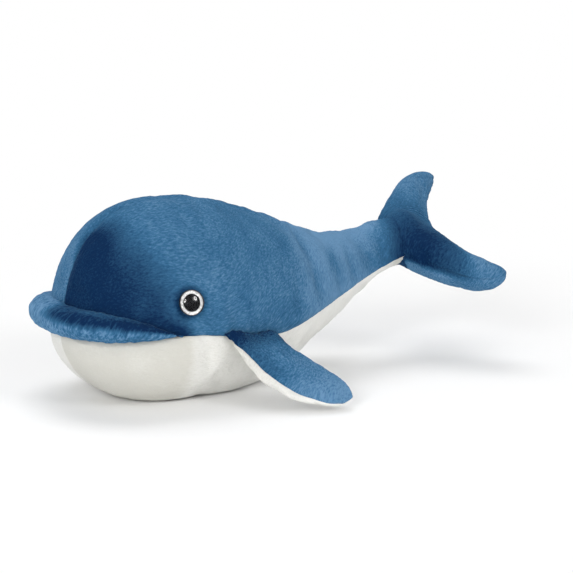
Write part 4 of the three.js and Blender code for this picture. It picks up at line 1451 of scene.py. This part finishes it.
def spun(name, profile, side):
    """A profile of (radius, height) points spun round the eye's axis."""
    bm = bmesh.new()
    verts = [bm.verts.new((radius, 0, height)) for radius, height in profile]
    edges = [bm.edges.new(pair) for pair in zip(verts, verts[1:])]
    bmesh.ops.spin(bm, geom=verts + edges, cent=(0, 0, 0), axis=(0, 0, 1), angle=2 * math.pi,
                   steps=EYE_SEGMENTS, use_merge=True)
    bmesh.ops.remove_doubles(bm, verts=bm.verts, dist=WELD)
    bmesh.ops.recalc_face_normals(bm, faces=bm.faces)
    bm.transform(eye_matrix(side))
    obj = new_object(name, bm)
    for face in obj.data.polygons:
        face.use_smooth = True
    return obj


def dome_profile():
    lifts = np.linspace(0, math.pi / 2, DOME_STEPS)
    arc = [(EYE_RADIUS * math.cos(lift), DOME_BASE + DOME_HEIGHT * math.sin(lift)) for lift in lifts[:-1]]
    return [(0, DOME_BACK), (EYE_RADIUS, DOME_BACK)] + arc + [(0, DOME_BASE + DOME_HEIGHT)]


def pupil_profile():
    return [(0, PUPIL_BASE), (PUPIL_RADIUS, PUPIL_BASE), (PUPIL_RADIUS, PUPIL_TOP), (0, PUPIL_TOP)]


def glitter_profile():
    inner = EYE_RADIUS - RIM_WIDTH
    return [(0, GLITTER_BASE), (EYE_RADIUS, GLITTER_BASE), (EYE_RADIUS, GLITTER_TOP),
            ((inner + EYE_RADIUS) / 2, GLITTER_TOP), (inner, GLITTER_TOP), (0, GLITTER_TOP)]


def write_rim(obj, side):
    """Marks the dark rim of the glitter disc for its material. The rim is partly the black backing
    of the eye and partly painted shadow where the eye meets the cloth.
    """
    local = points_of(obj.data) - np.array(eye_matrix(side).translation)
    radius = np.linalg.norm(local @ np.array(eye_matrix(side).to_3x3())[:, :2], axis=1)
    write_share(obj.data, "rim", ease(EYE_RADIUS - RIM_WIDTH, EYE_RADIUS - RIM_WIDTH / 2, radius))


def make_eye(word, side):
    dome = spun(f"dome_{word}", dome_profile(), side)
    pupil = spun(f"pupil_{word}", pupil_profile(), side)
    glitter = spun(f"glitter_{word}", glitter_profile(), side)
    write_rim(glitter, side)
    for piece, node, material, slot in [
        (dome, "dome", clear_dome, "clear_dome"),
        (pupil, "pupil", black_pupil, "black_pupil"),
        (glitter, "glitter", silver_glitter, "silver_glitter"),
    ]:
        piece.data.materials.append(material)
        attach(piece, "body")
        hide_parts(f"eye_{node}_{word}")
    washer = frame["nodes"][f"eye_washer_{word}"]
    for material_slot in washer.material_slots:
        material_slot.material = moulded_washer


make_eye("left", -1)
make_eye("right", 1)
print("eyes made")

# %% [markdown]
# ## Floor and light
# The whale lies on a plain pale floor that fades into a white surround: away from the whale the
# camera sees plain white. Large soft lamps light the whale from the front left, from the right
# and from above, so that the pile shows its grain and the shadow under the belly is soft. Two
# more lamps stand where the front ones do and show in gloss only. They give each eye its two
# bright spots.

# %% Floor
FLOOR_SIZE = 6
FLOOR_COLOUR = (0.88, 0.88, 0.88, 1)
FLOOR_LIGHT_COLOUR = (0.9, 0.9, 0.9, 1)
FLOOR_CLOUDS = 3
FLOOR_ROUGHNESS = 0.8
FLOOR_MIDDLE = (0.05, 0, 0)
FADE_START = 0.25
FADE_END = 0.6


def looked_at(tree):
    """1 for rays from the camera, also by way of gloss or of a clear dome, and 0 for light."""
    path = add_node(tree, "ShaderNodeLightPath").outputs
    seen = sum_of(tree, path["Is Camera Ray"], path["Is Glossy Ray"])
    return sum_of(tree, seen, path["Is Transmission Ray"])


def make_floor():
    bm = bmesh.new()
    bmesh.ops.create_grid(bm, x_segments=1, y_segments=1, size=FLOOR_SIZE / 2)
    floor = new_object("floor", bm)
    material, tree, shader = plain_material("pale floor", FLOOR_COLOUR, FLOOR_ROUGHNESS)
    place = add_node(tree, "ShaderNodeTexCoord").outputs["Object"]
    cloud = object_noise(tree, FLOOR_CLOUDS, 2)
    colour = mixed_colour(tree, cloud, FLOOR_COLOUR, FLOOR_LIGHT_COLOUR)
    tree.links.new(colour, shader.inputs["Base Color"])
    away = add_node(tree, "ShaderNodeVectorMath", {0: place, 1: FLOOR_MIDDLE}, operation="DISTANCE")
    fade = add_node(tree, "ShaderNodeMapRange",
                    {"Value": away.outputs["Value"], "From Min": FADE_START, "From Max": FADE_END},
                    interpolation_type="SMOOTHSTEP")
    seen = add_node(tree, "ShaderNodeMath", {0: fade.outputs[0], 1: looked_at(tree)},
                    operation="MULTIPLY", use_clamp=True)
    white = add_node(tree, "ShaderNodeEmission", {"Color": (1, 1, 1, 1), "Strength": 1})
    mix = add_node(tree, "ShaderNodeMixShader",
                   {0: seen.outputs[0], 1: shader.outputs[0], 2: white.outputs[0]})
    tree.links.new(mix.outputs[0], tree.nodes["Material Output"].inputs["Surface"])
    floor.data.materials.append(material)


make_floor()
print("floor of", FLOOR_SIZE, "m")

# %% Lamps and surround
WORLD_STRENGTH = 0.5
WHALE_MIDDLE = Vector((0.05, 0, 0.07))
KEY_PLACE = (-1.62, -1.25, 1.0)
FILL_PLACE = (0.85, -1.75, 1.15)
TOP_PLACE = (0.1, 0.7, 1.8)
LAMP_SIZE = 0.8
TOP_SIZE = 1.2
KEY_POWER = 19
FILL_POWER = 9
TOP_POWER = 15
EYE_LIGHT_POWER = 115


def make_surround():
    world = bpy.data.worlds.new("surround")
    scene.world = world
    world.use_nodes = True
    tree = world.node_tree
    light = tree.nodes["Background"]
    light.inputs["Color"].default_value = (1, 1, 1, 1)
    light.inputs["Strength"].default_value = WORLD_STRENGTH
    seen = add_node(tree, "ShaderNodeBackground", {"Color": (1, 1, 1, 1), "Strength": 1})
    mix = add_node(tree, "ShaderNodeMixShader",
                   {0: looked_at(tree), 1: light.outputs[0], 2: seen.outputs[0]})
    tree.links.new(mix.outputs[0], tree.nodes["World Output"].inputs["Surface"])


def make_lamp(name, place, size, power):
    lamp = bpy.data.objects.new(name, bpy.data.lights.new(name, "AREA"))
    lamp.data.shape = "DISK"
    lamp.data.size = size
    lamp.data.energy = power
    lamp.location = place
    lamp.rotation_euler = (WHALE_MIDDLE - Vector(place)).to_track_quat("-Z", "Y").to_euler()
    scene.collection.objects.link(lamp)
    return lamp


def make_eye_light(name, place):
    """A lamp that only shows in gloss, for the bright spots in the eyes."""
    lamp = make_lamp(name, place, LAMP_SIZE, EYE_LIGHT_POWER)
    lamp.visible_diffuse = False


make_surround()
make_lamp("key", KEY_PLACE, LAMP_SIZE, KEY_POWER)
make_lamp("fill", FILL_PLACE, LAMP_SIZE, FILL_POWER)
make_lamp("top", TOP_PLACE, TOP_SIZE, TOP_POWER)
make_eye_light("key shine", KEY_PLACE)
make_eye_light("fill shine", FILL_PLACE)
